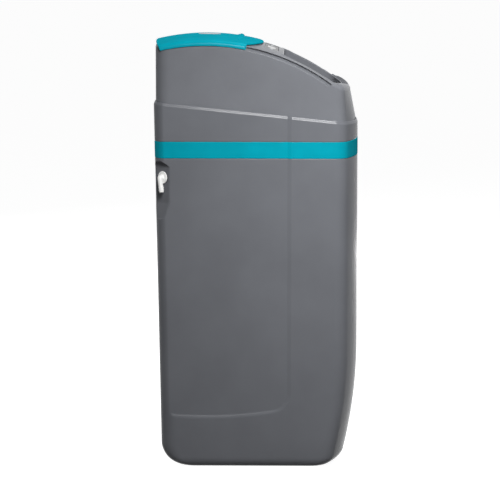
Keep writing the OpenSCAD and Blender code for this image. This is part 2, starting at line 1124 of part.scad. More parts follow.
module neck_ring() {
    color(black)
        at_valve()
            translate([0, 0, -6])
                rotate_extrude()
                    translate([neck_bore_r - 1.8, 0])
                        circle(1.8);
}

// Places around the valve's axis
module around(count, radius, first = 0) {
    for (index = [0 : count - 1])
        rotate([0, 0, first + 360 * index / count])
            translate([radius, 0, 0])
                children();
}

module valve_body() {
    reach = port_end_y - vessel_y;
    color(noryl)
        at_valve()
            difference() {
                union() {
                    translate([0, 0, -24])
                        cylinder(r = neck_bore_r - 0.3, h = 25);
                    cylinder(r = 50, h = 12);
                    translate([0, 0, 11])
                        cylinder(r = drum_r, h = drum_top - 10);
                    translate([0, 0, drum_top])
                        cylinder(r = flange_r, h = flange_top - drum_top);
                    for (side = [-1, 1])
                        translate([side * port_span / 2, 0, port_level]) {
                            rod_y(port_r, 0, reach);
                            rod_y(port_r + 2.5, reach - 34, reach - 28);
                        }
                    translate([0, 0, port_level])
                        rod_x(12, -70, 0);
                    translate([0, 0, brine_level])
                        rod_x(9, 0, 66);
                    translate([0, 0, brine_level + 12])
                        rod_y(14, -64, 0);
                }
                translate([0, 0, -6])
                    difference() {
                        cylinder(r = neck_bore_r + 1, h = 4, center = true);
                        cylinder(r = neck_bore_r - 3.7, h = 5, center = true);
                    }
                translate([0, 0, -30])
                    cylinder(r = riser_r + 0.1, h = 90);
                translate([0, 0, chamber_low])
                    cylinder(r = chamber_r, h = over);
                for (side = [-1, 1]) {
                    translate([side * port_span / 2, 0, port_level])
                        rod_y(port_bore_r, -4, reach + 1);
                    translate([side * 27, 0, port_level])
                        cylinder(r = 6, h = 30);
                }
                translate([0, 0, port_level])
                    rod_x(6, -75, -54);
                translate([0, 0, brine_level])
                    rod_x(4, 20, 70);
                translate([0, 0, brine_level + 12])
                    rod_y(9, -65, -32);
                around(6, bolt_circle_r)
                    translate([0, 0, drum_top + 2])
                        cylinder(r = 2.5, h = over);
            }
}

module seal_disc() {
    color(white)
        at_valve()
            difference() {
                tube(chamber_r - 0.1, 4, chamber_low, chamber_low + seal_t);
                for (side = [-1, 1])
                    translate([side * 27, 0, chamber_low - 1])
                        cylinder(r = 6, h = seal_t + 2);
            }
}

module rotor() {
    color(light_grey)
        at_valve()
            difference() {
                union() {
                    translate([0, 0, rotor_low])
                        cylinder(r = chamber_r - 2, h = rotor_t);
                    translate([0, 0, rotor_low + rotor_t - 1])
                        cylinder(r = shaft_r, h = gear_low - rotor_low - rotor_t + 1);
                    translate([0, 0, gear_low - 1])
                        cylinder(r = 5, h = gear_t + 3);
                }
                translate([10, -20, rotor_low - 1])
                    cube([26, 40, 4]);
            }
}

module thrust_washer() {
    color(steel)
        at_valve()
            tube(washer_r, shaft_r + 0.6, washer_low, plug_low);
}

module valve_cover() {
    color(noryl)
        at_valve()
            difference() {
                union() {
                    translate([0, 0, plug_low])
                        cylinder(r = chamber_r - 0.3, h = flange_top - plug_low + 1);
                    translate([0, 0, flange_top])
                        cylinder(r = flange_r, h = cover_top - flange_top);
                    translate([0, 0, cover_top - 1])
                        cylinder(r = 12, h = boss_top - cover_top + 1);
                    around(3, post_circle_r, post_first)
                        translate([0, 0, cover_top - 1])
                            cylinder(r = 4.5, h = plate_low - cover_top + 1);
                }
                translate([0, 0, plug_low - 1])
                    cylinder(r = shaft_r + shaft_fit, h = over);
                around(6, bolt_circle_r)
                    translate([0, 0, flange_top - 1])
                        cylinder(r = 2.7, h = cover_top - flange_top + 2);
                around(3, post_circle_r, post_first)
                    translate([0, 0, plate_low - 10])
                        cylinder(r = 1.5, h = 11);
            }
}

module valve_cover_screws() {
    color(steel)
        at_valve()
            around(6, bolt_circle_r) {
                translate([0, 0, drum_top + 3])
                    cylinder(r = 2.5, h = cover_top - drum_top - 2);
                translate([0, 0, cover_top])
                    cylinder(r = 4.2, h = 3.5);
            }
}

// Half the angle that a tooth takes up at a radius
function tooth_half(teeth, radius) =
    let (
        pitch = gear_mod * teeth / 2,
        base = pitch * cos(pressure_angle),
        at_pitch = 90 / teeth - tooth_slack / 2 / pitch * 180 / PI,
        roll = acos(min(1, base / radius)),
        spread = (tan(roll) - tan(pressure_angle)) * 180 / PI - roll + pressure_angle
    )
    at_pitch - spread;

// Outline of an involute gear
module gear_outline(teeth, first) {
    pitch = gear_mod * teeth / 2;
    base = pitch * cos(pressure_angle);
    root = pitch - 1.15 * gear_mod;
    tip = pitch + 0.85 * gear_mod;
    low = max(root + 0.2, base);
    radii = [root, low, low + (tip - low) / 3, low + (tip - low) * 2 / 3, tip];
    polygon([
        for (tooth = [0 : teeth - 1])
            for (flank = [0 : 9])
                let (
                    radius = radii[flank < 5 ? flank : 9 - flank],
                    half = tooth_half(teeth, max(radius, low)),
                    angle = first + 360 * tooth / teeth + (flank < 5 ? -half : half)
                )
                radius * [cos(angle), sin(angle)]
    ]);
}

module drive_gear() {
    color(white)
        at_valve()
            translate([0, 0, gear_low])
                linear_extrude(gear_t)
                    difference() {
                        gear_outline(gear_teeth, 0);
                        circle(5);
                        for (index = [0 : 4])
                            rotate(36 + 72 * index)
                                translate([26, 0])
                                    circle(8);
                    }
}

module motor_pinion() {
    color(white)
        at_valve()
            translate([gear_centre, 0, 0]) {
                translate([0, 0, gear_low])
                    linear_extrude(gear_t)
                        gear_outline(pinion_teeth, 180 / pinion_teeth);
                translate([0, 0, gear_low - 1])
                    cylinder(r = spindle_r, h = plate_low + plate_t - gear_low + 3);
            }
}

module motor_plate() {
    color(noryl)
        at_valve()
            translate([0, 0, plate_low])
                linear_extrude(plate_t)
                    difference() {
                        union() {
                            circle(plate_r);
                            translate([gear_centre, 0])
                                circle(plate_end_r);
                        }
                        circle(plate_bore_r);
                        translate([gear_centre, 0])
                            circle(8.2);
                        for (index = [0 : 2])
                            rotate(post_first + 120 * index)
                                translate([post_circle_r, 0])
                                    circle(1.7);
                        for (side = [-1, 1])
                            translate([gear_centre, side * 29])
                                circle(1.5);
                    }
}

module motor_plate_screws() {
    top = plate_low + plate_t;
    color(steel)
        at_valve() {
            around(3, post_circle_r, post_first) {
                translate([0, 0, plate_low - 8])
                    cylinder(r = 1.5, h = plate_t + 9);
                translate([0, 0, top])
                    cylinder(r = 3.2, h = 2.2);
            }
            for (side = [-1, 1])
                translate([gear_centre, side * 29, 0]) {
                    translate([0, 0, plate_low - 2])
                        cylinder(r = 1.5, h = plate_t + 5);
                    translate([0, 0, top + 2])
                        cylinder(r = 3, h = 2.2);
                }
        }
}

module drive_motor() {
    top = plate_low + plate_t;
    color(steel)
        at_valve()
            translate([gear_centre, 0, 0])
                difference() {
                    union() {
                        translate([0, 0, top])
                            cylinder(r = motor_r, h = motor_h);
                        translate([0, 0, plate_low])
                            cylinder(r = 8, h = plate_t + 1);
                        translate([-5, -29, top])
                            cube([10, 58, 2]);
                        for (side = [-1, 1])
                            translate([0, side * 29, top])
                                cylinder(r = 5, h = 2);
                        for (side = [-1, 1])
                            translate([side * 8 - 2, -0.4, top + motor_h - 1])
                                cube([4, 0.8, 6]);
                    }
                    translate([0, 0, plate_low - 1])
                        cylinder(r = spindle_r + 0.05, h = plate_t + 4);
                    for (side = [-1, 1])
                        translate([0, side * 29, top - 1])
                            cylinder(r = 1.6, h = 4);
                }
}

module position_sensor() {
    color(black)
        at_valve()
            translate([-41, -5, plate_low - 4])
                cube([14, 10, 4]);
}

module injector_nozzle() {
    color(light_grey)
        at_valve()
            translate([0, 0, brine_level + 12])
                difference() {
                    union() {
                        rod_y(8.9, -60, -54);
                        rod_y(6, -55, -36);
                        rod_y(8.9, -40, -36);
                    }
                    rod_y(1.5, -61, -35);
                }
}

module injector_cap() {
    color(noryl)
        at_valve()
            translate([0, 0, brine_level + 12]) {
                rod_y(8.9, -64.5, -60);
                rod_y(14, -68, -64);
                translate([0, -68, 0])
                    rotate([90, 0, 0])
                        cylinder(r = 9, h = 6, $fn = 6);
            }
}

module drain_elbow() {
    reach = port_end_y - vessel_y;
    color(light_grey)
        at_valve()
            translate([0, 0, port_level])
                difference() {
                    union() {
                        rod_x(5.9, -72, -56);
                        rod_x(9, drain_x, -70);
                        translate([drain_x, 0, 0]) {
                            sphere(9);
                            rod_y(9, 0, 30);
                            rod_y(hose_r - 0.6, 28, reach);
                            rod_y(hose_r + 0.3, reach - 8, reach - 4);
                            rod_y(hose_r + 0.3, reach - 16, reach - 12);
                        }
                    }
                    rod_x(4, drain_x, -55);
                    translate([drain_x, 0, 0])
                        rod_y(4, 0, reach + 1);
                }
}

module brine_elbow() {
    color(light_grey)
        at_valve()
            translate([0, 0, brine_level])
                difference() {
                    union() {
                        rod_x(3.9, 52, 68);
                        rod_x(8, 66, brine_x);
                        translate([brine_x, 0, 0]) {
                            sphere(8);
                            rod_y(8, -22, 0);
                            rod_y(9.5, -22, -12);
                        }
                    }
                    rod_x(2.5, 50, brine_x);
                    translate([brine_x, 0, 0])
                        rod_y(line_r + 0.1, -23, -3);
                }
}

// Frame on the middle of the outlet port
module at_meter() {
    translate([port_span / 2, 0, neck_z + port_level])
        children();
}

module meter_turbine() {
    color(white)
        at_meter() {
            rod_y(1.2, turbine_y - 13, turbine_y + 13);
            rod_y(3.5, turbine_y - 7, turbine_y + 7);
            for (blade = [0 : 5])
                translate([0, turbine_y, 0])
                    rotate([0, 60 * blade, 0])
                        translate([0, 0, 5.2])
                            rotate([0, 0, 35])
                                cube([0.9, 12, 6], center = true);
        }
}

module turbine_support() {
    color(light_grey)
        at_meter()
            difference() {
                union() {
                    difference() {
                        rod_y(port_bore_r - 0.05, turbine_y - 13, turbine_y + 13);
                        rod_y(port_bore_r - 1.2, turbine_y - 14, turbine_y + 14);
                    }
                    for (end = [-1, 1])
                        translate([0, turbine_y + end * 11.5, 0]) {
                            rod_y(2.6, -1.5, 1.5);
                            for (arm = [0 : 2])
                                rotate([0, 120 * arm, 0])
                                    translate([-0.6, -1.5, 2])
                                        cube([1.2, 3, port_bore_r - 2.6]);
                        }
                }
                rod_y(1.25, turbine_y - 14, turbine_y + 14);
            }
}

module brine_well() {
    color(light_grey)
        translate([well_x, well_y, 0])
            difference() {
                tube(well_r, well_r - well_wall, floor_z, well_top_z);
                for (row = [0 : 2])
                    translate([-over, -2, floor_z + 12 + 22 * row])
                        cube([2 * over, 4, 12]);
            }
}

module well_cap() {
    color(light_grey)
        difference() {
            translate([well_x, well_y, 0]) {
                translate([0, 0, well_top_z])
                    cylinder(r = well_r + 1.5, h = 3);
                tube(well_r - well_wall - 0.2, well_r - well_wall - 2.5, well_top_z - 10, well_top_z + 1);
            }
            translate([pickup_x, well_y, well_top_z - 1])
                cylinder(r = pickup_r + 0.2, h = 5);
        }
}

module safety_valve() {
    color(white)
        difference() {
            union() {
                translate([pickup_x, well_y, valve_low_z])
                    cylinder(r = 12, h = valve_top_z - valve_low_z);
                translate([pickup_x, well_y, valve_top_z - 1])
                    cylinder(r = pickup_r, h = well_elbow_z - valve_top_z + 1);
                translate([pickup_x, well_y - 5, arm_low_z])
                    cube([rod_x - pickup_x, 10, arm_top_z - arm_low_z]);
                translate([rod_x, well_y, arm_low_z])
                    cylinder(r = 8, h = arm_top_z - arm_low_z);
            }
            translate([rod_x, well_y, arm_low_z - 1])
                cylinder(r = rod_r + rod_fit, h = arm_top_z - arm_low_z + 2);
            translate([pickup_x, well_y, valve_low_z - 1])
                cylinder(r = pickup_r - 1.5, h = over);
            translate([pickup_x, well_y, valve_top_z - 5])
                cylinder(r = pickup_r - 1.5, h = over);
        }
}

module float_rod() {
    color(white)
        translate([rod_x, well_y, 0]) {
            translate([0, 0, float_low_z - 10])
                cylinder(r = rod_r, h = arm_top_z + 8 - float_low_z + 10);
            translate([0, 0, arm_top_z + stop_gap])
                cylinder(r = stop_r, h = stop_h);
            translate([0, 0, arm_low_z - float_travel - stop_gap - stop_h])
                cylinder(r = stop_r, h = stop_h);
        }
}

module brine_float() {
    color(turquoise)
        translate([rod_x, well_y, 0])
            tube(float_r, rod_r, float_low_z, float_low_z + float_h);
}

module pickup_tube() {
    color(white)
        translate([pickup_x, well_y, 0])
            tube(pickup_r, pickup_r - 1.5, check_top_z, valve_low_z);
}

module air_check() {
    color(black)
        translate([pickup_x, well_y, 0])
            difference() {
                translate([0, 0, check_low_z])
                    cylinder(r = 13, h = check_top_z - check_low_z);
                translate([0, 0, check_low_z + 5])
                    cylinder(r = 10.5, h = check_top_z - check_low_z - 12);
                for (row = [0 : 3])
                    translate([-20, -3, check_low_z + 8 + 12 * row])
                        cube([40, 6, 6]);
            }
}

module well_elbow() {
    color(light_grey)
        translate([pickup_x, well_y, well_elbow_z])
            difference() {
                union() {
                    sphere(8.5);
                    translate([0, 0, -15])
                        cylinder(r = 8.5, h = 15);
                    rod_y(8.5, 0, line_start_y - well_y);
                }
                translate([0, 0, -16])
                    cylinder(r = pickup_r, h = 16);
                rod_y(line_r + 0.1, 7, line_start_y - well_y + 1);
                rod_y(3, 0, 8);
            }
}

// Route of the brine line between its two elbows, straight where it sits in them
function line_point(along) =
    let (
        socket = [0, line_seat, 0],
        start = [pickup_x, line_start_y, well_elbow_z] + [0, 1, 0],
        finish = [brine_x, brine_out_y, neck_z + brine_level] - [0, 1, 0],
        pull = [0, line_pull, 0],
        bend = (along - line_end) / (1 - 2 * line_end),
        rest = 1 - bend
    )
    along <= line_end ? start - socket * (1 - along / line_end)
    : along >= 1 - line_end ? finish + socket * (1 - (1 - along) / line_end)
    : pow(rest, 3) * start + 3 * pow(rest, 2) * bend * (start + pull)
        + 3 * rest * pow(bend, 2) * (finish - pull) + pow(bend, 3) * finish;

module brine_line() {
    rings = 32;
    sides = 8;
    points = [
        for (ring = [0 : rings])
            let (
                centre = line_point(ring / rings),
                ahead = line_point(min(1, ring / rings + 0.01)) - line_point(max(0, ring / rings - 0.01)),
                across = cross(ahead, [1, 0, 0]),
                up = across / norm(across),
                side = cross(ahead, up) / norm(cross(ahead, up))
            )
            for (index = [0 : sides - 1])
                centre + line_r * (cos(360 * index / sides) * up + sin(360 * index / sides) * side)
    ];
    walls = [
        for (ring = [0 : rings - 1])
            for (index = [0 : sides - 1])
                [
                    ring * sides + index, (ring + 1) * sides + index,
                    (ring + 1) * sides + (index + 1) % sides, ring * sides + (index + 1) % sides
                ]
    ];
    ends = [
        [for (index = [0 : sides - 1]) index],
        [for (index = [sides - 1 : -1 : 0]) rings * sides + index]
    ];
    color(white)
        polyhedron(points, concat(walls, ends));
}

module salt_grid() {
    half = half_w - panel_depth - tank_wall - 4;
    front = half_d - grid_inset;
    color(light_grey)
        translate([0, 0, grid_top_z - grid_t])
            linear_extrude(grid_t)
                difference() {
                    polygon(concat(
                        [for (point = bowed_points(half, front, bow_r - grid_inset, 15, 16)) -point],
                        [[half, well_y + 44], [-half, well_y + 44]]
                    ));
                    translate([0, vessel_y])
                        circle(vessel_r + 4);
                    translate([well_x, well_y])
                        circle(well_r + 3);
                    for (row = [-6 : 6])
                        translate([slot_pitch * row - slot_w / 2, front_slot_y])
                            square([slot_w, 42]);
                    for (row = [-6 : 1])
                        translate([slot_pitch * row - slot_w / 2, back_slot_y])
                            square([slot_w, 46]);
                }
}

module grid_legs() {
    color(light_grey)
        for (place = leg_places)
            translate([place[0], place[1], 0])
                tube(leg_r, leg_r - 2.5, floor_z, grid_top_z - grid_t);
}

cabinet_tank();
trim_band();
top_cover();
slide_lid();
lid_badge();
control_panel();
display_window();
display_module();
control_board();
key_switches();
board_screws();
key_menu();
key_down();
key_up();
key_regen();
overflow_elbow();
overflow_gasket();
overflow_nut();
cover_screws();
power_inlet();
resin_vessel();
vessel_base();
resin_bed();
gravel_bed();
riser_tube();
bottom_distributor();
top_distributor();
valve_body();
neck_ring();
seal_disc();
rotor();
thrust_washer();
valve_cover();
valve_cover_screws();
drive_gear();
motor_pinion();
drive_motor();
motor_plate();
motor_plate_screws();
position_sensor();
injector_nozzle();
injector_cap();
drain_elbow();
brine_elbow();
meter_turbine();
turbine_support();
brine_well();
well_cap();
safety_valve();
float_rod();
brine_float();
pickup_tube();
air_check();
well_elbow();
brine_line();
salt_grid();
grid_legs();
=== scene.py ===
import json
import math

import bmesh
import bpy
import numpy as np
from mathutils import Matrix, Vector, geometry


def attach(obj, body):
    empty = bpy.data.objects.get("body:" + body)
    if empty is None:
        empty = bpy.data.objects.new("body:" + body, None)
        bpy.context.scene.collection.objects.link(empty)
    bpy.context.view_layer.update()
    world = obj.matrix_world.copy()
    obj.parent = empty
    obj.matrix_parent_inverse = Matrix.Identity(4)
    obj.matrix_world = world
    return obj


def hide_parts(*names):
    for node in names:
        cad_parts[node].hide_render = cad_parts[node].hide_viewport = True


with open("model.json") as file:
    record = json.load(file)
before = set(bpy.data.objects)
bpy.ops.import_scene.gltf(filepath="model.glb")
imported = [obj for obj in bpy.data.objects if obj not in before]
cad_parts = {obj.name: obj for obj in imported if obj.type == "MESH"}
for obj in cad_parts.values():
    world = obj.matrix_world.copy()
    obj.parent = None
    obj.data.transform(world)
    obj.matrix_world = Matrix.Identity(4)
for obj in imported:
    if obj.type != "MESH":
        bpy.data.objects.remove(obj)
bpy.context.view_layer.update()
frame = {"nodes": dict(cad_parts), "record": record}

MM = 0.001

# Sizes in millimetres, as in the solids
HALF_W, HALF_D = 165.0, 262.5
FRONT_BOW = 36.0
BOW_R = (HALF_W ** 2 + FRONT_BOW ** 2) / (2 * FRONT_BOW)
FRONT_CORNER_R, BACK_CORNER_R = 36.0, 40.0
RIM_BACK_Z, RIM_TILT = 948.0, math.radians(5.85)
BACK_DRAFT = math.radians(1.1)
TOE_R, TOE_Z = 1200.0, 310.0
TOE_AXIS_Y = TOE_R - HALF_D
TOE_FROM_Y, TOE_RUN, DRAFT_FROM_Y, DRAFT_RUN = -150.0, 40.0, 150.0, 50.0
BASE_EDGE_R, BASE_END_R, BASE_BACK_R, BASE_EASE = 25.0, 45.0, 66.0, 0.4
TANK_WALL, PANEL_DEPTH = 4.5, 3.5
PANEL_FRONT_Y, PANEL_LOW_Z, PANEL_BOW_R, PANEL_MID_Y, PANEL_CORNER_R = -85.0, 137.0, 1100.0, 130.0, 35.0
PANEL_FRONT_EASE, PANEL_LOW_EASE, PANEL_FRONT_SHIFT = 10.5, 9.5, 4.0
PANEL_CREASE, PANEL_CREASE_RISE = 1.08, 0.32
PANEL_RISE, PANEL_RISE_Y = 26.0, 213.0
LIFT_FROM_Z, LIFT_RUN, LIFT_FADE_Z, LIFT_FADE_RUN = 60.0, 46.0, 178.0, 110.0
BAND_Z, BAND_H, BAND_GROOVE = 803.0, 43.0, 1.3
BAND_EDGE_Z = 850.4
SCOOP_AT = np.array([-142.5, 240.0, 753.0])
SCOOP_HALF, SCOOP_ARCH, SCOOP_LOW, SCOOP_WALL_SLOPE, SCOOP_EASE = 33.0, 7.0, 104.0, 5.0, 3.0
RAMP_START, RAMP_SLOPE, RAMP_EASE = 65.0, 0.24, 1.5
RIM_BEVEL_H = 8.6
PLUG_DEPTH, SHELF_W, SHELF_T = 24.0, 9.0, 6.0
COVER_INSET, COVER_HALF_W, COVER_WALL = 5.4, 156.1, 3.2
COVER_LEAN = math.radians(11.0)
LEAN_DROP, LEAN_FRONT_Y, LEAN_RUN = 52.0, -120.0, 90.0
COVER_EDGE_R, COVER_FRONT_GAIN, COVER_BACK_LOSS = 12.0, 13.0, 9.0
SCREW_X, SCREW_Z = 100.0, 935.0
SOCKET_AT, SOCKET_R = (98.0, 985.0), 6.2
ARC_Y, ARC_Z = 130.0, 551.0
LID_R, LID_HALF_W, LID_CROWN_R, LID_EDGE_R, LID_WALL = 562.0, 155.8, 1480.0, 12.0, 3.0
LID_FRONT_Y, LID_BOW_R, LID_TRAVEL = -18.0, 285.0, math.radians(24.8)
LID_BACK_ANGLE = -math.asin((HALF_D - COVER_INSET - 1.6 - ARC_Y) / LID_R)
DECK_INSET = 5.0
DECK_R, SKIRT_R, REBATE_R, GROOVE_R, GROOVE_H, GROOVE_X = 557.0, 539.5, 538.5, 543.5, 4.0, 147.8
SLOT_X = 142.0
LID_LIP_R, LID_BACK_BOW, LID_BACK_SHIFT, LID_BACK_SLOPE = 0.9, 0.0135, 0.009, 0.0075
OPENING_HALF, OPENING_FRONT, OPENING_BACK_Y = 126.0, 220.0, -71.0
OPENING_BOW_R, OPENING_FRONT_R, OPENING_BACK_R = 345.0, 25.0, 15.0
PANEL_ANGLE, PANEL_TOP_R, PANEL_W, PANEL_L, PANEL_T = math.radians(17.8), 553.0, 183.0, 37.0, 2.5
WINDOW_W, WINDOW_L = 56.0, 22.0
POST_X, POST_Y, BOARD_DROP = PANEL_W / 2 - 4, 9.0, 12.0
KEY_W, KEY_L, KEY_RIM = 11.4, 8.4, 1.3
KEY_PLACES = {"key_menu": -71.0, "key_down": -51.0, "key_up": 51.0, "key_regen": 71.0}


def smooth_min(a, b, k):
    """Lesser of two values with a rounded change between them."""
    h = np.clip(0.5 + 0.5 * (b - a) / k, 0, 1)
    return b + (a - b) * h - k * h * (1 - h)


def smooth_max(a, b, k):
    """Greater of two values with a rounded change between them."""
    return -smooth_min(-np.asarray(a, float), -np.asarray(b, float), k)


def smooth_step(t):
    """Eased change from 0 to 1."""
    t = np.clip(t, 0, 1)
    return t * t * (3 - 2 * t)


# Materials


def linear(*srgb):
    """Linear colour from sRGB values up to 255."""
    return tuple(
        (v / 255 / 12.92 if v / 255 <= 0.04045 else ((v / 255 + 0.055) / 1.055) ** 2.4) for v in srgb
    ) + (1.0,)


def material(name, srgb, rough, vary, mottle, grain=900.0, depth=0.00004, metallic=0.0, **sockets):
    """Moulded or turned surface: slow colour drift, uneven gloss and a fine grain."""
    made = bpy.data.materials.new(name)
    made.use_nodes = True
    nodes, links = made.node_tree.nodes, made.node_tree.links
    shader = nodes["Principled BSDF"]
    shader.inputs["Metallic"].default_value = metallic
    for socket, value in sockets.items():
        shader.inputs[socket.replace("_", " ")].default_value = value
    place = nodes.new("ShaderNodeTexCoord")

    drift = nodes.new("ShaderNodeTexNoise")
    drift.inputs["Scale"].default_value = mottle
    drift.inputs["Detail"].default_value = 4.0
    links.new(place.outputs["Object"], drift.inputs["Vector"])
    base = linear(*srgb)
    ramp = nodes.new("ShaderNodeValToRGB")
    ramp.color_ramp.elements[0].position = 0.3
    ramp.color_ramp.elements[1].position = 0.7
    ramp.color_ramp.elements[0].color = tuple(c * (1 - vary) for c in base[:3]) + (1.0,)
    ramp.color_ramp.elements[1].color = tuple(min(1.0, c * (1 + vary)) for c in base[:3]) + (1.0,)
    links.new(drift.outputs["Fac"], ramp.inputs["Fac"])
    links.new(ramp.outputs["Color"], shader.inputs["Base Color"])

    gloss = nodes.new("ShaderNodeTexNoise")
    gloss.inputs["Scale"].default_value = mottle * 5
    gloss.inputs["Detail"].default_value = 3.0
    links.new(place.outputs["Object"], gloss.inputs["Vector"])
    spread = nodes.new("ShaderNodeMapRange")
    spread.inputs["To Min"].default_value = max(0.02, rough - 0.06)
    spread.inputs["To Max"].default_value = min(1.0, rough + 0.06)
    links.new(gloss.outputs["Fac"], spread.inputs["Value"])
    links.new(spread.outputs["Result"], shader.inputs["Roughness"])

    fine = nodes.new("ShaderNodeTexNoise")
    fine.inputs["Scale"].default_value = grain
    fine.inputs["Detail"].default_value = 2.0
    links.new(place.outputs["Object"], fine.inputs["Vector"])
    bump = nodes.new("ShaderNodeBump")
    bump.inputs["Strength"].default_value = 0.6
    bump.inputs["Distance"].default_value = depth
    links.new(fine.outputs["Fac"], bump.inputs["Height"])
    links.new(bump.outputs["Normal"], shader.inputs["Normal"])
    return made


# Thin even shine of moulded plastic
SATIN = {"Specular_IOR_Level": 0.02, "Coat_Weight": 0.022, "Coat_Roughness": 0.20, "Coat_IOR": 4.0}
LID_SATIN = {"Specular_IOR_Level": 0.0, "Coat_Weight": 0.015, "Coat_Roughness": 0.26, "Coat_IOR": 4.0}
LOOKS = {
    "tank_grey": ((104, 106, 111), 0.24, dict(vary=0.05, mottle=9.0, **SATIN)),
    "cover_grey": ((111, 113, 118), 0.24, dict(vary=0.05, mottle=11.0, **SATIN)),
    "turquoise": ((2, 147, 165), 0.50, dict(vary=0.06, mottle=16.0, depth=0.00002, **LID_SATIN)),
    "badge_grey": ((150, 152, 155), 0.34, dict(vary=0.08, mottle=40.0, depth=0.00002)),
    "panel_black": ((30, 31, 33), 0.30, dict(vary=0.12, mottle=50.0, depth=0.00002)),
    "window": ((52, 60, 62), 0.10, dict(vary=0.10, mottle=60.0, depth=0.000004, Coat_Weight=0.4)),
    "display": ((150, 165, 140), 0.35, dict(vary=0.08, mottle=80.0)),
    "board_green": ((24, 92, 52), 0.40, dict(vary=0.18, mottle=160.0)),
    "switch_black": ((26, 26, 28), 0.42, dict(vary=0.12, mottle=120.0)),
    "key_grey": ((168, 170, 172), 0.40, dict(vary=0.07, mottle=150.0)),
    "screw_steel": ((190, 192, 195), 0.28, dict(vary=0.10, mottle=200.0, metallic=1.0)),
    "white_plastic": ((248, 248, 246), 0.34, dict(vary=0.025, mottle=60.0, depth=0.00002)),
    "light_plastic": ((205, 206, 202), 0.42, dict(vary=0.05, mottle=40.0)),
    "black_plastic": ((32, 32, 34), 0.44, dict(vary=0.14, mottle=40.0)),
    "seal_rubber": ((24, 24, 25), 0.62, dict(vary=0.18, mottle=90.0, depth=0.00008)),
    "vessel_shell": ((206, 200, 178), 0.48, dict(vary=0.09, mottle=22.0, grain=320.0, depth=0.0002)),
    "resin": ((182, 120, 44), 0.55, dict(vary=0.30, mottle=700.0, grain=1400.0, depth=0.0004)),
    "gravel": ((168, 158, 142), 0.70, dict(vary=0.38, mottle=260.0, grain=330.0, depth=0.0012)),
    "valve_black": ((40, 40, 42), 0.48, dict(vary=0.12, mottle=30.0)),
    "ceramic_disc": ((228, 226, 220), 0.20, dict(vary=0.03, mottle=120.0, depth=0.00001)),
    "motor_steel": ((172, 174, 176), 0.34, dict(vary=0.10, mottle=90.0, metallic=1.0)),
}
MATERIALS = {name: material(name, srgb, rough, **more) for name, (srgb, rough, more) in LOOKS.items()}
for part in frame["record"]["subparts"]:
    for place in frame["nodes"][part["node"]].material_slots:
        place.material = MATERIALS[part["material_slot"]]

# Mesh helpers


def piece(name, verts, faces, body, nodes, slot, sharp):
    """Smooth mesh in millimetres that stands for a solid and rides on its body."""
    mesh = bpy.data.meshes.new(name)
    mesh.from_pydata([tuple(v) for v in np.asarray(verts, float) * MM], [], [tuple(f) for f in faces])
    mesh.update()
    made = bpy.data.objects.new(name, mesh)
    bpy.context.scene.collection.objects.link(made)
    return dress(made, body, nodes, slot, sharp)


def dress(made, body, nodes, slot, sharp):
    """Shades a finished mesh, gives it its material, ties it to its body and hides the solid it stands for.
    """
    mesh = made.data
    work = bmesh.new()
    work.from_mesh(mesh)
    bmesh.ops.remove_doubles(work, verts=work.verts, dist=0.000004)
    bmesh.ops.recalc_face_normals(work, faces=work.faces)
    work.to_mesh(mesh)
    work.free()
    mesh.shade_smooth()
    mesh.set_sharp_from_angle(angle=math.radians(sharp))
    weighted = made.modifiers.new("weighted", "WEIGHTED_NORMAL")
    weighted.keep_sharp = True
    mesh.materials.clear()
    mesh.materials.append(MATERIALS[slot])
    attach(made, body)
    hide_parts(*nodes)
    return made


def rings(loops, cap_first=True, cap_last=True, wrap=False):
    """Vertices and faces of a skin over closed loops of equal length."""
    count = len(loops[0])
    verts = np.concatenate([np.asarray(loop, float) for loop in loops])
    faces = []
    last = len(loops)
    for row in range(last if wrap else last - 1):
        low, high = row * count, ((row + 1) % last) * count
        for col in range(count):
            nxt = (col + 1) % count
            faces.append((low + col, low + nxt, high + nxt, high + col))
    if not wrap and cap_first:
        faces.append(tuple(reversed(range(count))))
    if not wrap and cap_last:
        faces.append(tuple(range((last - 1) * count, last * count)))
    return verts, faces


def solid(name, verts, faces):
    """Construction solid for cutting or joining."""
    mesh = bpy.data.meshes.new(name)
    mesh.from_pydata([tuple(v) for v in np.asarray(verts, float) * MM], [], [tuple(f) for f in faces])
    work = bmesh.new()
    work.from_mesh(mesh)
    bmesh.ops.remove_doubles(work, verts=work.verts, dist=0.000001)
    bmesh.ops.triangulate(work, faces=work.faces)
    bmesh.ops.recalc_face_normals(work, faces=work.faces)
    work.to_mesh(mesh)
    work.free()
    made = bpy.data.objects.new(name, mesh)
    bpy.context.scene.collection.objects.link(made)
    return made


def combine(target, tool, operation):
    """Boolean of two closed solids; the tool is used up."""
    step = target.modifiers.new("step", "BOOLEAN")
    step.operation = operation
    step.solver = "MANIFOLD"
    step.object = tool
    view = bpy.context.evaluated_depsgraph_get()
    mesh = bpy.data.meshes.new_from_object(target.evaluated_get(view))
    target.modifiers.clear()
    target.data = mesh
    bpy.data.objects.remove(tool)
    return target


def cut(target, name, loops):
    """Takes the solid inside closed loops away from the target."""
    return combine(target, solid(name, *rings(loops)), "DIFFERENCE")


def join(target, name, loops):
    """Adds the solid inside closed loops to the target."""
    return combine(target, solid(name, *rings(loops)), "UNION")


SECTION_MIDDLE = 140.0


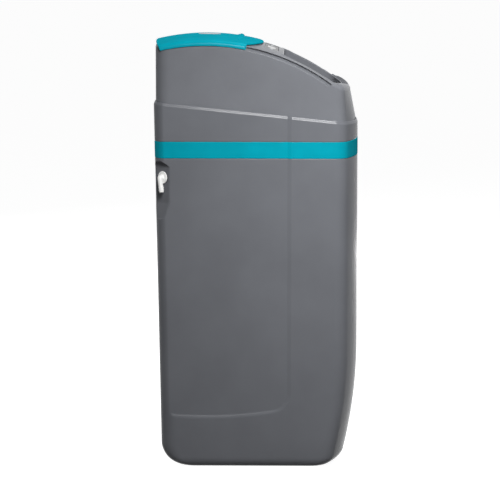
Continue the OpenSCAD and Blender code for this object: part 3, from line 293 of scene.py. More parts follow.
def end_faces(section, side=None):
    """Triangles over a section.

    A wide thin section is closed locally, between its first side of that many points and its other side.
    """
    total = len(section)

    def over(picks):
        if len(picks) < 3:
            return []
        flat = [Vector((section[i][0], section[i][1], 0)) for i in picks]
        return [tuple(picks[i] for i in corners) for corners in geometry.tessellate_polygon([flat])]

    if side is None:
        return over(list(range(total)))
    middle = np.flatnonzero(np.abs(section[:, 0]) < SECTION_MIDDLE)
    first, other = middle[middle < side], middle[middle >= side]
    here, there, last, final = int(first[0]), int(other[-1]), int(first[-1]), int(other[0])
    faces = over([*range(here + 1), *range(there, total)]) + over(list(range(last, final + 1)))
    while here < last or there > final:
        next_here = np.hypot(*(section[here + 1] - section[there])) if here < last else np.inf
        next_there = np.hypot(*(section[here] - section[there - 1])) if there > final else np.inf
        if next_here <= next_there:
            faces.append((here, here + 1, there))
            here += 1
        else:
            faces.append((here, there - 1, there))
            there -= 1
    return faces


def section_solid(name, section, angle_of, steps, side=None):
    """Solid swept about the lid's arc.

    Section points are (x, radius), and angle_of gives each point's two end angles.
    """
    section = np.asarray(section, float)
    start, end = angle_of(section[:, 0], section[:, 1])
    loops = []
    for step in range(steps + 1):
        angle = start + (end - start) * step / steps
        loops.append(arc_place(section[:, 0], section[:, 1], angle))
    verts, faces = rings(loops, False, False)
    count = len(section)
    for triangle in end_faces(section, side):
        faces.append(triangle)
        faces.append(tuple(steps * count + i for i in triangle))
    return solid(name, verts, faces)


def arc_place(x, radius, angle):
    """Points at a radius and an angle forward of upright about the lid's arc."""
    x, radius, angle = np.broadcast_arrays(
        np.asarray(x, float), np.asarray(radius, float), np.asarray(angle, float)
    )
    return np.stack([x, ARC_Y - radius * np.sin(angle), ARC_Z + radius * np.cos(angle)], axis=-1)


def arc(centre, radius, first, last, steps):
    """Points along an arc, angles in degrees."""
    angles = np.radians(np.linspace(first, last, steps + 1))
    return np.stack([centre[0] + radius * np.cos(angles), centre[1] + radius * np.sin(angles)], axis=1)


def bowed_points(half, apex, end_r, corner_r, steps, corner_steps=6):
    """Chain round a bowed end with rounded corners, from its right side to its left side."""
    bow_c = apex - end_r
    corner_u = half - corner_r
    corner_v = bow_c + math.sqrt((end_r - corner_r) ** 2 - corner_u ** 2)
    turn = math.degrees(math.atan2(corner_v - bow_c, corner_u))
    bow = arc((0, bow_c), end_r, turn, 180 - turn, steps)
    return np.concatenate([
        arc((corner_u, corner_v), corner_r, 0, turn, corner_steps), bow[1:-1],
        arc((-corner_u, corner_v), corner_r, 180 - turn, 180, corner_steps),
    ])


# Cabinet tank

BACK_X = [0, 20, 40, 58, 74, 88, 99, 108, 115, 120]
SIDE_Y = np.concatenate([
    np.arange(221, 199, -2.2), np.arange(190, -31, -11.0), np.arange(-40, -74, -4.0),
    np.arange(-76, -102, -1.25), np.arange(-104, -196, -9.0),
])


def outline(half, front, bow_r, corner_r, back, back_r, side_y=SIDE_Y, back_x=BACK_X):
    """Ring of plan points and outward normals, from the middle of the back round the right side and on."""
    points, normals = [], []
    for x in back_x:
        points.append((x, back))
        normals.append((0, 1))
    corner = np.array([half - back_r, back - back_r])
    for angle in np.radians(np.linspace(90, 0, 25)):
        way = np.array([math.cos(angle), math.sin(angle)])
        points.append(corner + back_r * way)
        normals.append(way)
    for y in side_y:
        points.append((half, y))
        normals.append((1, 0))
    bow_c = -front + bow_r
    corner_u = half - corner_r
    corner_v = bow_c - math.sqrt((bow_r - corner_r) ** 2 - corner_u ** 2)
    turn = math.atan2(corner_v - bow_c, corner_u)
    for angle in np.linspace(0, turn, 13):
        way = np.array([math.cos(angle), math.sin(angle)])
        points.append(np.array([corner_u, corner_v]) + corner_r * way)
        normals.append(way)
    for angle in np.linspace(turn, -math.pi / 2, 25)[1:]:
        way = np.array([math.cos(angle), math.sin(angle)])
        points.append(np.array([0, bow_c]) + bow_r * way)
        normals.append(way)
    points, normals = np.array(points, float), np.array(normals, float)
    flip = np.array([-1.0, 1.0])
    return tuple(np.concatenate([half_ring, half_ring[-2:0:-1] * flip]) for half_ring in (points, normals))


def tank_plan(inset, side_cut=0.0):
    """The tank's plan ring, drawn in by inset."""
    return outline(HALF_W - side_cut - inset, HALF_D - inset, BOW_R - inset, FRONT_CORNER_R - inset,
                   HALF_D - inset, BACK_CORNER_R - inset)


def rim_z(y):
    """Height of the tank's tilted rim."""
    return RIM_BACK_Z - (HALF_D - y) * math.tan(RIM_TILT)


def rounding(radius, height):
    """How far a rounded lower edge draws in at a height above its foot."""
    gap = np.clip(radius - height, 0, radius)
    return radius - np.sqrt(radius ** 2 - gap ** 2)


def tank_shape(plan, z, inset, side_cut=0.0):
    """Places a plan ring at heights z, with toe curve, back draft and rounded base."""
    z = np.broadcast_to(np.asarray(z, float), plan.shape[:1])
    x, y0 = plan[:, 0].copy(), plan[:, 1]
    below = np.clip(TOE_Z - z, 0, None)
    toe = TOE_AXIS_Y - np.sqrt((TOE_AXIS_Y - y0) ** 2 - below ** 2) - y0
    y = y0 + toe * np.clip((TOE_FROM_Y - y0) / TOE_RUN, 0, 1)
    y = y - (RIM_BACK_Z - z) * math.tan(BACK_DRAFT) * np.clip((y0 - DRAFT_FROM_Y) / DRAFT_RUN, 0, 1)
    half = HALF_W - side_cut - inset
    x *= 1 - rounding(BASE_EDGE_R - inset, z - inset) / half
    draw = rounding(BASE_END_R - inset, z - inset)
    front_here = np.sqrt((TOE_R - inset) ** 2 - below ** 2) - TOE_AXIS_Y
    back_here = HALF_D - inset - (RIM_BACK_Z - z) * math.tan(BACK_DRAFT)
    front_foot = math.sqrt(TOE_R ** 2 - (TOE_Z - BASE_END_R) ** 2) - TOE_AXIS_Y + BASE_EASE - inset
    back_draw = rounding(BASE_BACK_R - inset, z - inset)
    back_foot = HALF_D - (RIM_BACK_Z - BASE_BACK_R) * math.tan(BACK_DRAFT) + BASE_EASE - inset
    front_scale = np.where(z - inset < BASE_END_R, np.minimum(1, (front_foot - draw) / front_here), 1)
    back_scale = np.where(z - inset < BASE_BACK_R, np.minimum(1, (back_foot - back_draw) / back_here), 1)
    y = np.where(y < 0, y * front_scale, y * back_scale)
    return np.stack([x, y, z], axis=1)


def panel_lift(y):
    """Rise of the side panel's lower edge along the depth."""
    reach = np.clip(y, PANEL_FRONT_Y, HALF_D) - PANEL_MID_Y
    return PANEL_BOW_R - np.sqrt(PANEL_BOW_R ** 2 - reach ** 2)


def panel_share(y, z):
    """0 outside the recessed side panel, 1 inside it; the border has a crease inside and eases out."""
    from_front = y - PANEL_FRONT_Y - PANEL_FRONT_SHIFT
    z = z - PANEL_RISE * np.clip((y - PANEL_RISE_Y) / PANEL_RISE, 0, 1) ** 2
    from_low = PANEL_BOW_R - np.hypot(y - PANEL_MID_Y, z - (PANEL_LOW_Z + PANEL_BOW_R))
    across, down = np.clip(PANEL_CORNER_R - from_front, 0, None), np.clip(PANEL_CORNER_R - from_low, 0, None)
    in_corner = (across > 0) & (down > 0)
    inside = PANEL_CORNER_R - np.where(in_corner, np.hypot(across, down), np.maximum(across, down))
    turn = down ** 2 / np.maximum(across ** 2 + down ** 2, 1e-6)
    ease = PANEL_FRONT_EASE + (PANEL_LOW_EASE - PANEL_FRONT_EASE) * turn
    share = np.clip(1 + inside / ease, 0, 1)
    return share ** (PANEL_CREASE + PANEL_CREASE_RISE * turn)


def recess(points, inset):
    """Draws the sides in to the recessed panels."""
    limit = HALF_W - PANEL_DEPTH * panel_share(points[:, 1], points[:, 2]) - inset
    points[:, 0] = np.sign(points[:, 0]) * np.minimum(np.abs(points[:, 0]), limit)
    return points


def scoop(points):
    """Draws the back corner in to the overflow's scoop."""
    place = points - SCOOP_AT
    u = (place[:, 0] + place[:, 1]) * math.sqrt(0.5)
    v = (place[:, 1] - place[:, 0]) * math.sqrt(0.5)
    w = place[:, 2]
    ramp = RAMP_SLOPE * np.logaddexp(0, (-RAMP_START - w) / RAMP_EASE) * RAMP_EASE
    low_centre = SCOOP_HALF - SCOOP_LOW
    edge = np.where(w > SCOOP_ARCH, np.hypot(u, w - SCOOP_ARCH),
                    np.where(w < low_centre, np.hypot(u, w - low_centre), np.abs(u))) - SCOOP_HALF
    depth = smooth_max(ramp, SCOOP_WALL_SLOPE * edge, SCOOP_EASE)
    near = (points[:, 0] < -90) & (points[:, 1] > 170) & (np.abs(w) < 130)
    moved = np.where(near, smooth_min(v, depth, SCOOP_EASE), v)
    shift = (moved - v) * math.sqrt(0.5)
    points[:, 0] -= shift
    points[:, 1] += shift
    return points


def scoop_backing(points):
    """Keeps the inside of the wall behind the scoop."""
    place = points - SCOOP_AT
    v = (place[:, 1] - place[:, 0]) * math.sqrt(0.5)
    u = (place[:, 0] + place[:, 1]) * math.sqrt(0.5)
    inside = (np.abs(u) < 72) & (place[:, 2] > -110) & (place[:, 2] < 44)
    shift = np.where(inside, np.minimum(v, -TANK_WALL) - v, 0) * math.sqrt(0.5)
    points[:, 0] -= shift
    points[:, 1] += shift
    return points


def tank_outer(plan, z, inset):
    """A ring of the tank's outside."""
    return scoop(recess(tank_shape(plan, z, inset), inset))


BASE_LEVELS = [0, 0.4, 1.2, 2.5, 4.2, 6.5, 9.5, 13, 17, 21, 25, 29, 33, 37, 41, 45, 50, 56, 62, 68, 82, 96,
               106]
PANEL_EDGE_LEVELS = np.concatenate([np.arange(108, 144, 1.5), np.arange(144, 180, 3.0),
                                    np.arange(180, 300, 12.0)])
WALL_LEVELS = np.concatenate([np.arange(300, 636, 20.0), np.arange(640, 694, 1.5), np.arange(695, 752, 3.0),
                              np.arange(754, 798, 1.25)])
# Height and inset across the band's groove, then drop below the rim and inset across its two bevels
GROOVE_EDGE = [
    (798.6, 0), (800.6, 0), (801.5, 0.1), (802.2, 0.35), (802.7, 0.75), (802.95, 1.15), (803, BAND_GROOVE),
    (805, BAND_GROOVE), (824, BAND_GROOVE), (844, BAND_GROOVE), (846, BAND_GROOVE), (846.05, 1.15),
    (846.3, 0.75), (846.8, 0.35), (847.5, 0.1), (848.4, 0), (BAND_EDGE_Z, 0),
]
RIM_EDGE = [
    (RIM_BEVEL_H, 0), (8.1, 0.02), (7.7, 0.1), (7.3, 0.22), (6.2, 0.56), (5.0, 0.94), (4.6, 1.12), (4.3, 1.4),
    (4.1, 1.5), (3.8, 1.55), (2.8, 1.86), (1.6, 2.24), (0.9, 2.55), (0.4, 2.95), (0.1, 3.4), (0, 3.8),
]
INSIDE_LEVELS = [
    850, 820, 798, 796, 740, 700, 657, 654, 560, 460, 360, 310, 270, 230, 190, 150, 110, 80, 62, 50, 45, 38,
    31, 25, 20, 16, 12.5, 9.5, 7.3, 5.8, 4.9, 4.5,
]


def tank_loops():
    """Rings up the tank's outside, over its rim and down its inside."""
    plan, _ = tank_plan(0)
    y_top = plan[:, 1]
    loops = []
    for z in BASE_LEVELS:
        loops.append(tank_outer(plan, z + panel_lift(y_top) * smooth_step((z - LIFT_FROM_Z) / LIFT_RUN), 0))
    for z in PANEL_EDGE_LEVELS:
        fade = 1 - smooth_step((z - LIFT_FADE_Z) / LIFT_FADE_RUN)
        loops.append(tank_outer(plan, z + panel_lift(y_top) * fade, 0))
    for z in WALL_LEVELS:
        loops.append(tank_outer(plan, z, 0))
    for z, inset in GROOVE_EDGE:
        loops.append(tank_outer(tank_plan(inset)[0], z, inset))
    top = rim_z(y_top)
    for share in [0.1, 0.3, 0.5, 0.7, 0.85, 0.95]:
        loops.append(tank_outer(plan, BAND_EDGE_Z + (top - RIM_BEVEL_H - BAND_EDGE_Z) * share, 0))
    for drop, inset in RIM_EDGE:
        loops.append(tank_outer(tank_plan(inset)[0], top - drop, inset))
    inner = tank_plan(TANK_WALL, PANEL_DEPTH)[0]
    lip = tank_plan(TANK_WALL - 0.5, PANEL_DEPTH)[0]
    shelf = tank_plan(TANK_WALL + SHELF_W, PANEL_DEPTH)[0]

    def within(ring, z, inset):
        return scoop_backing(tank_shape(ring, z, inset, PANEL_DEPTH))

    loops.append(within(lip, top, TANK_WALL - 0.5))
    loops.append(within(inner, top - 0.5, TANK_WALL))
    loops.append(within(inner, top - PLUG_DEPTH, TANK_WALL))
    loops.append(within(shelf, top - PLUG_DEPTH, TANK_WALL + SHELF_W))
    loops.append(within(shelf, top - PLUG_DEPTH - SHELF_T, TANK_WALL + SHELF_W))
    loops.append(within(inner, top - PLUG_DEPTH - SHELF_T, TANK_WALL))
    for z in INSIDE_LEVELS:
        loops.append(within(inner, z, TANK_WALL))
    return loops


# Trim band


def band_loops():
    """Rings round the band, which stands a little proud of the tank."""
    low, high = BAND_Z + 0.25, BAND_Z + BAND_H - 0.25
    profile = [
        (1.2, low), (0.55, low), (0.1, low + 0.2), (-0.2, low + 0.6), (-0.3, low + 1.2), (-0.3, low + 12),
        (-0.3, high - 12), (-0.3, high - 1.2), (-0.2, high - 0.6), (0.1, high - 0.2), (0.55, high),
        (1.2, high),
    ]
    return [recess(tank_shape(tank_plan(inset)[0], z, inset), inset) for inset, z in profile]


piece("band_ring", *rings(band_loops(), wrap=True), "cabinet", ["trim_band"], "turquoise", 50.0)

# Place of the overflow fitting

FITTING_AT = SCOOP_AT + np.array([-4.5, -4.5, 0.0]) * math.sqrt(0.5)


def fitting_place(points):
    """Points of the fitting's frame, x along the scoop's flat, y outwards, z up, set into the cabinet."""
    points = np.asarray(points, float)
    turn = math.sqrt(0.5)
    return FITTING_AT + np.stack([(points[:, 0] - points[:, 1]) * turn, (points[:, 0] + points[:, 1]) * turn,
                                  points[:, 2]], axis=1)


def rod_loops(centre, levels, steps=40):
    """Circles about a line along y: levels are (y, radius) pairs."""
    angles = np.linspace(0, 2 * math.pi, steps, endpoint=False)
    across, up = np.cos(angles), np.sin(angles)
    return [np.stack([centre[0] + r * across, np.full(steps, y), centre[1] + r * up], axis=1)
            for y, r in levels]


def make_tank():
    """Tank with its overflow hole and the two seats of the cover's screws."""
    tank = solid("tank_shell", *rings(tank_loops()))
    cut(tank, "overflow_hole", [fitting_place(loop) for loop in rod_loops((0, 0), [(-14, 10.2), (8, 10.2)])])
    seat = [(250, 2.2), (259.6, 2.2), (259.6, 5.2), (261.6, 5.2), (262.8, 6.0)]
    for side in (-1, 1):
        cut(tank, "screw_seat", rod_loops((side * SCREW_X, SCREW_Z), seat))
    return dress(tank, "cabinet", ["cabinet_tank"], "tank_grey", 40.0)


make_tank()

# Top cover


def crown(x, radius, crown_r):
    """Radius of a crowned arc at x from its middle."""
    return radius - (crown_r - np.sqrt(crown_r ** 2 - np.asarray(x, float) ** 2))


def top_z(x, y, radius, crown_r):
    """Height of a crowned arc at a place in plan."""
    return ARC_Z + np.sqrt(crown(x, radius, crown_r) ** 2 - (np.asarray(y, float) - ARC_Y) ** 2)


def cover_plan(inset):
    """The cover's plan ring, drawn in by inset."""
    end = HALF_D - COVER_INSET - inset
    return outline(COVER_HALF_W - inset, end, BOW_R - COVER_INSET - inset, FRONT_CORNER_R - COVER_INSET, end,
                   BACK_CORNER_R - COVER_INSET - inset, side_y=np.linspace(219, -200, 43))


def leaned(plan, z):
    """Places the cover's plan ring at heights z, with its front leaning back."""
    z = np.broadcast_to(np.asarray(z, float), plan.shape[:1])
    back = np.clip(z - (RIM_BACK_Z - LEAN_DROP), 0, None) * math.tan(COVER_LEAN)
    share = np.clip((LEAN_FRONT_Y - plan[:, 1]) / LEAN_RUN, 0, 1)
    share = share * np.clip(1.08 - (plan[:, 0] / 156.0) ** 2, 0.08, 1)
    return np.stack([plan[:, 0], plan[:, 1] + back * share, z], axis=1)


def cover_form():
    """The cover's outside before anything is cut from it: leaning walls, rounded edge and crowned top."""
    plan, normal = cover_plan(0)
    foot = rim_z(plan[:, 1]) - PLUG_DEPTH
    facing = normal[:, 1]
    edge_r = COVER_EDGE_R + COVER_FRONT_GAIN * np.clip(-facing, 0, 1) ** 2
    edge_r = edge_r - COVER_BACK_LOSS * np.clip(facing, 0, 1)
    top = np.full(len(plan), 1000.0)
    for _ in range(12):
        at = leaned(plan, top - edge_r)
        draw = at[:, :2] - normal * edge_r[:, None]
        top = top_z(draw[:, 0], draw[:, 1], LID_R, LID_CROWN_R)
    wall_top = top - edge_r
    loops = [leaned(plan, foot)]
    for share in [0.08, 0.16, 0.3, 0.45, 0.6, 0.75, 0.88]:
        loops.append(leaned(plan, foot + (wall_top - foot) * share))
    for turn in np.radians(np.linspace(0, 90, 10)):
        z = wall_top + edge_r * math.sin(turn)
        ring = leaned(plan, np.minimum(z, wall_top))
        ring[:, :2] -= normal * (edge_r * (1 - math.cos(turn)))[:, None]
        ring[:, 2] = z
        loops.append(ring)
    rim = loops[-1]
    spine = np.stack([np.zeros(len(rim)), np.clip(rim[:, 1], -150, 150), rim[:, 2]], axis=1)
    for share in [0.03, 0.08, 0.15, 0.25, 0.4, 0.6, 0.8, 1.0]:
        ring = rim + (spine - rim) * share
        ring[:, 2] = top_z(ring[:, 0], ring[:, 1], LID_R, LID_CROWN_R)
        loops.append(ring)
    return rings(loops, True, False)


def bow_y(x, inset):
    """Front edge of the pushed-back lid, moved back by inset."""
    radius = LID_BOW_R - inset
    return LID_FRONT_Y + inset + radius - np.sqrt(radius ** 2 - np.minimum(np.abs(x), 175.0) ** 2)


def lid_end(x, radius, inset=0.0):
    """Angle of the pushed-back lid's front edge."""
    return np.arcsin((ARC_Y - bow_y(x, inset)) / radius)


def deck_section(half, top, crown_r, edge_r):
    """Chain over the deck's section."""
    return bowed_points(half, top, crown_r, edge_r, 36, 8)


def notched(chain, low, high, depth_x):
    """Chain over a crowned section with a square step at depth_x cut into, or set onto, its right side."""
    half = chain[:len(chain) // 2 + 1]
    below, above = half[half[:, 1] < low - 0.05], half[half[:, 1] > high + 0.05]
    x_low, x_high = np.interp([low, high], half[:, 1], half[:, 0])
    right = np.concatenate([below, [(x_low, low), (depth_x, low), (depth_x, high), (x_high, high)], above])
    return np.concatenate([right, right[-2::-1] * np.array([-1.0, 1.0])])


def lid_spaces():
    """Room for the lid's path: over the deck, and in the rebate and groove on each side."""
    edge, outer, above = LID_HALF_W - DECK_INSET, COVER_HALF_W + 1.4, LID_R + 14
    deck = deck_section(edge, DECK_R, LID_CROWN_R - DECK_INSET, LID_EDGE_R - DECK_INSET)
    roof = deck[np.abs(deck[:, 0]) < 143]
    sky = np.column_stack([roof[::-1, 0], np.full(len(roof), above)])
    wall = notched(deck, GROOVE_R, GROOVE_R + GROOVE_H, SLOT_X)
    wall = wall[wall[:, 0] > 122]
    rises = (24, 18, 14, 11, 9, 7, 5.4, 4, 2.8, 1.8, 0.8, -0.4)
    leg = [(outer, above)] + [(outer, REBATE_R + rise) for rise in rises]
    leg += [(outer, REBATE_R - 3.0), (COVER_HALF_W, REBATE_R - 1.7), (COVER_HALF_W - 0.4, REBATE_R - 0.8),
            (COVER_HALF_W - 1.0, REBATE_R - 0.25), (COVER_HALF_W - 1.8, REBATE_R), (edge + 0.8, REBATE_R),
            (edge, REBATE_R + 0.8)]
    leg = np.concatenate([leg, wall, [(wall[-1, 0], above)]])

    def ends(x, radius):
        reach = lid_end(x, np.minimum(radius, LID_R + 1.0), -1.0) + LID_TRAVEL
        low = np.clip(1 - (radius - REBATE_R) / 6.0, 0, 1.3)
        round_end = 6.0 * np.sqrt(np.clip(1 - low ** 2, 0, 1)) / REBATE_R
        return np.full(len(x), math.radians(-32)), reach + np.where(np.abs(x) > edge - 0.1, round_end, 0)

    return [section_solid("roof_space", np.concatenate([roof, sky]), ends, 60, len(roof)),
            section_solid("right_space", leg, ends, 60),
            section_solid("left_space", leg[::-1] * np.array([-1.0, 1.0]), ends, 60)]


def cover_space():
    """Hollow under the cover, inside its walls and below its deck."""
    plan, _ = cover_plan(COVER_WALL)
    room = solid("room", *rings([leaned(plan, z) for z in (700, 896, 960, 1040, 1200)]))
    inner = deck_section(SLOT_X - COVER_WALL, DECK_R - COVER_WALL, LID_CROWN_R - DECK_INSET - COVER_WALL, 6.0)
    shoulder = REBATE_R - COVER_WALL
    section = [(200, shoulder), (SLOT_X - COVER_WALL, shoulder)] + [tuple(p) for p in inner] + [
        (COVER_WALL - SLOT_X, shoulder), (-200, shoulder), (-200, 280), (200, 280)]

    def ends(x, radius):
        return np.full(len(x), math.radians(-34)), np.full(len(x), math.radians(66))

    return combine(room, section_solid("under", section, ends, 70), "INTERSECT")


def opening_ring(grow):
    """Ring round the salt opening in plan."""
    half, front, back = OPENING_HALF + grow, OPENING_FRONT + grow, -OPENING_BACK_Y - grow
    corner = OPENING_BACK_R + grow
    ring = np.concatenate([
        bowed_points(half, front, OPENING_BOW_R + grow, OPENING_FRONT_R + grow, 30, 10),
        arc((corner - half, back + corner), corner, 180, 270, 10),
        arc((half - corner, back + corner), corner, 270, 360, 10),
    ])
    return -ring


def deck_z(ring):
    """Height of the deck under a ring."""
    return top_z(ring[:, 0], ring[:, 1], DECK_R, LID_CROWN_R - DECK_INSET)


def chute(grow):
    """Wall that hangs from the deck round the salt opening."""
    ring = opening_ring(grow)
    low = ARC_Z + np.sqrt(518.0 ** 2 - (ring[:, 1] - ARC_Y) ** 2)
    return solid("chute", *rings([np.column_stack([ring, low]), np.column_stack([ring, deck_z(ring) - 1.4])]))


def opening_lip():
    """Low bead round the salt opening, under the lid's path."""
    loops = []
    for rise, grow in [(-2.0, 7.0), (0.0, 7.0), (0.5, 6.6), (0.9, 5.9), (1.1, 5.0), (1.1, 0.5), (-2.0, 0.5)]:
        ring = opening_ring(grow)
        loops.append(np.column_stack([ring, deck_z(ring) + rise]))
    return solid("lip", *rings(loops, wrap=True))


def opening_cut():
    """Salt opening with a rounded upper edge."""
    loops = []
    for rise, grow in [(-90, 0), (-2.1, 0), (-1.2, 0.14), (-0.4, 0.5), (0.3, 1.1), (0.8, 2.0), (1.12, 3.0),
                       (2.0, 3.4), (60, 3.4)]:
        ring = opening_ring(grow)
        loops.append(np.column_stack([ring, deck_z(ring) + rise]))
    return solid("opening", *rings(loops))


def panel_place(points):
    """Points of the panel's own frame, where z is the radius of the arc, set into the cabinet."""
    points = np.asarray(points, float)
    c, s = math.cos(PANEL_ANGLE), math.sin(PANEL_ANGLE)
    y, z = points[:, 1], points[:, 2]
    return np.stack([points[:, 0], ARC_Y + y * c - z * s, ARC_Z + y * s + z * c], axis=1)


def rounded_rect(half_x, half_y, radius, steps=6):
    """Ring of a rectangle with round corners."""
    ring = []
    for cx, cy, first in [(1, 1, 0), (-1, 1, 90), (-1, -1, 180), (1, -1, 270)]:
        ring.append(arc((cx * (half_x - radius), cy * (half_y - radius)), radius, first, first + 90, steps))
    return np.concatenate(ring)


def slab(half_x, half_y, levels, corner, centre=(0.0, 0.0)):
    """Rounded plate in the panel's frame: levels are (z, inset) pairs from below to above."""
    loops = []
    for z, inset in levels:
        ring = rounded_rect(half_x - inset, half_y - inset, max(0.2, corner - inset)) + np.array(centre)
        loops.append(panel_place(np.column_stack([ring, np.full(len(ring), z)])))
    return loops


def post_loops(centre, radius, ends, steps=40):
    """Round bar in the panel's frame, from one height to another."""
    angles = np.linspace(0, 2 * math.pi, steps, endpoint=False)
    ring = np.stack([centre[0] + np.cos(angles) * radius, centre[1] + np.sin(angles) * radius], axis=1)
    return [panel_place(np.column_stack([ring, np.full(steps, z)])) for z in ends]


def box_loops(low, high):
    """Square-edged box between two corners."""
    ring = np.array([(low[0], low[1]), (high[0], low[1]), (high[0], high[1]), (low[0], high[1])], float)
    return [np.column_stack([ring, np.full(4, z)]) for z in (low[2], high[2])]


def make_cover():
    """Cover with its hollow, lid path, salt opening, panel tray and openings at the back."""
    cover = solid("cover_shell", *cover_form())
    combine(cover, cover_space(), "DIFFERENCE")
    for space in lid_spaces():
        combine(cover, space, "DIFFERENCE")
    combine(cover, chute(COVER_WALL), "UNION")
    half_w, half_l, floor = PANEL_W / 2, PANEL_L / 2, PANEL_TOP_R - PANEL_T
    board_top = PANEL_TOP_R - BOARD_DROP
    posts = [(side * POST_X, end * POST_Y) for side in (-1, 1) for end in (-1, 1)]
    join(cover, "tray", slab(half_w + 3, half_l + 3, [(floor - 3, 0), (PANEL_TOP_R, 0)], 2.0))
    for centre in posts:
        join(cover, "post", post_loops(centre, 3.5, (board_top, floor - 1)))
    combine(cover, opening_lip(), "UNION")
    combine(cover, opening_cut(), "DIFFERENCE")
    levels = [(floor, 0), (PANEL_TOP_R + 2.6, 0), (PANEL_TOP_R + 3.3, -0.25), (PANEL_TOP_R + 3.9, -1.0),
              (PANEL_TOP_R + 4.4, -2.0), (PANEL_TOP_R + 40, -2.4)]
    cut(cover, "tray_cut", slab(half_w, half_l, levels, 1.2))
    cut(cover, "tray_hole", slab(half_w - 7.5, 13, [(floor - 40, 0), (floor + 1, 0)], 2.0))
    for centre in posts:
        cut(cover, "pilot", post_loops(centre, 1.5, (board_top - 1, board_top + 6), 16))
    cut(cover, "notch", box_loops((-112, 222, 888), (68, 300, 1014)))
    cut(cover, "socket", rod_loops(SOCKET_AT, [(222, SOCKET_R), (262, SOCKET_R)]))
    for side in (-1, 1):
        cut(cover, "screw", rod_loops((side * SCREW_X, SCREW_Z), [(232, 2.0), (262, 2.0)], 16))
    return dress(cover, "cabinet", ["top_cover"], "cover_grey", 30.0)


make_cover()

# Sliding lid with its crescent grip

FRONT_INSETS = np.concatenate([[0, 0.25, 0.8, 1.8, 3.5, 6, 10, 16, 24, 32, 38, 42], np.arange(45, 73, 1.0),
                               [75, 80, 88]])
GRIP_H, GRIP_HALF, GRIP_INSET = 6.0, 78.0, 54.0
GRIP_BOW, GRIP_RISE, GRIP_FALL, GRIP_FADE = 4.6, 6.0, 9.0, 34.0
BACK_SHARES = [0.05, 0.12, 0.2, 0.3, 0.4, 0.5, 0.6, 0.7, 0.8, 0.88, 0.94, 0.97, 0.985, 0.994, 0.998, 1.0]
BACK_LENGTH = 150.0


def lip_shrink(distance):
    """How far the lid's rounded lip draws in at a distance from its end."""
    gap = max(0.0, LID_LIP_R - distance)
    return max(0.0, LID_LIP_R - math.sqrt(max(0.0, LID_LIP_R ** 2 - gap ** 2)))


def make_lid():
    """Curved lid with hooks, a bowed front edge and a grip that stands up from it."""
    outer = bowed_points(LID_HALF_W, LID_R, LID_CROWN_R, LID_EDGE_R, 48, 10)
    wall_x = LID_HALF_W - LID_WALL
    inner = bowed_points(wall_x, LID_R - LID_WALL, LID_CROWN_R - LID_WALL, LID_EDGE_R - LID_WALL, 48, 10)
    inner = notched(inner, GROOVE_R + 0.3, GROOVE_R + GROOVE_H - 0.3, GROOVE_X + 0.8)
    foot = np.array([(wall_x, SKIRT_R + 0.6), (wall_x + 0.6, SKIRT_R), (LID_HALF_W - 0.8, SKIRT_R),
                     (LID_HALF_W, SKIRT_R + 0.8)])
    section = np.concatenate([foot, outer, foot[::-1] * np.array([-1.0, 1.0]), inner[::-1]])
    x, radius = section[:, 0], section[:, 1]
    is_outer = np.zeros(len(section), bool)
    is_outer[len(foot):len(foot) + len(outer)] = True
    inward = np.where(is_outer, 1.0, -1.0)
    at_side = np.abs(x) >= LID_HALF_W - 6
    in_roof = ~at_side & (is_outer | (radius > GROOVE_R + 8))
    loops = []

    def ring(angle, shrink, lift):
        squeeze = np.where(at_side, -np.sign(x) * shrink * inward, 0)
        return arc_place(x + squeeze, radius - shrink * inward * in_roof + lift, angle)

    for inset in FRONT_INSETS:
        angle = lid_end(x, radius) - inset / radius
        behind = inset - (GRIP_INSET + GRIP_BOW * (x / GRIP_HALF) ** 2)
        slope = smooth_min(1 + behind / GRIP_RISE, 1 - behind / GRIP_FALL, 0.35)
        fade = smooth_step((GRIP_HALF - np.abs(x)) / GRIP_FADE)
        lift = np.where(is_outer, GRIP_H * smooth_max(slope, 0.0, 0.12) * fade, 0)
        lift = np.where((behind > -9) & (behind < 13), lift, 0)
        loops.append(ring(angle, lip_shrink(inset), lift))
    start = lid_end(x, radius) - FRONT_INSETS[-1] / radius
    bowed = LID_BACK_BOW * (x / LID_HALF_W) ** 2 - LID_BACK_SHIFT + LID_BACK_SLOPE * (LID_R - radius) / 22.5
    for share in BACK_SHARES:
        angle = start + (LID_BACK_ANGLE + bowed - start) * share
        loops.append(ring(angle, lip_shrink((1 - share) * BACK_LENGTH), 0))
    verts, faces = rings(loops, False, False)
    count = len(section)
    for triangle in end_faces(section, len(section) - len(inner)):
        faces.append(triangle)
        faces.append(tuple((len(loops) - 1) * count + i for i in triangle))
    return piece("lid_shell", verts, faces, "lid", ["slide_lid"], "turquoise", 36.0)


make_lid()


BADGE_R, BADGE_HALF, BADGE_SHIFT = 19.0, 10.0, 8.0


def make_badge():
    """Blank plate with round ends on the lid's crown."""
    def ring(inset, rise):
        end = arc((0, BADGE_HALF), BADGE_R - inset, 0, 180, 28)
        low = arc((0, -BADGE_HALF), BADGE_R - inset, 180, 360, 28)
        flat = np.concatenate([end, low])
        flat[:, 1] += ARC_Y - BADGE_SHIFT
        return np.column_stack([flat, top_z(flat[:, 0], flat[:, 1], LID_R, LID_CROWN_R) + rise])

    levels = [(0, -0.05), (0, 0.45), (0.12, 0.75), (0.45, 0.93), (1.0, 1.0), (2.2, 1.0), (2.6, 0.7),
              (3.4, 0.7), (7, 0.72), (12, 0.74), (16, 0.75)]
    loops = [ring(inset, rise) for inset, rise in levels]
    return piece("badge_plate", *rings(loops), "lid", ["lid_badge"], "badge_grey", 50.0)


make_badge()

# Overflow elbow on the scoop's flat

ELBOW_REACH, ELBOW_LEAN = 12.8, math.radians(10.0)
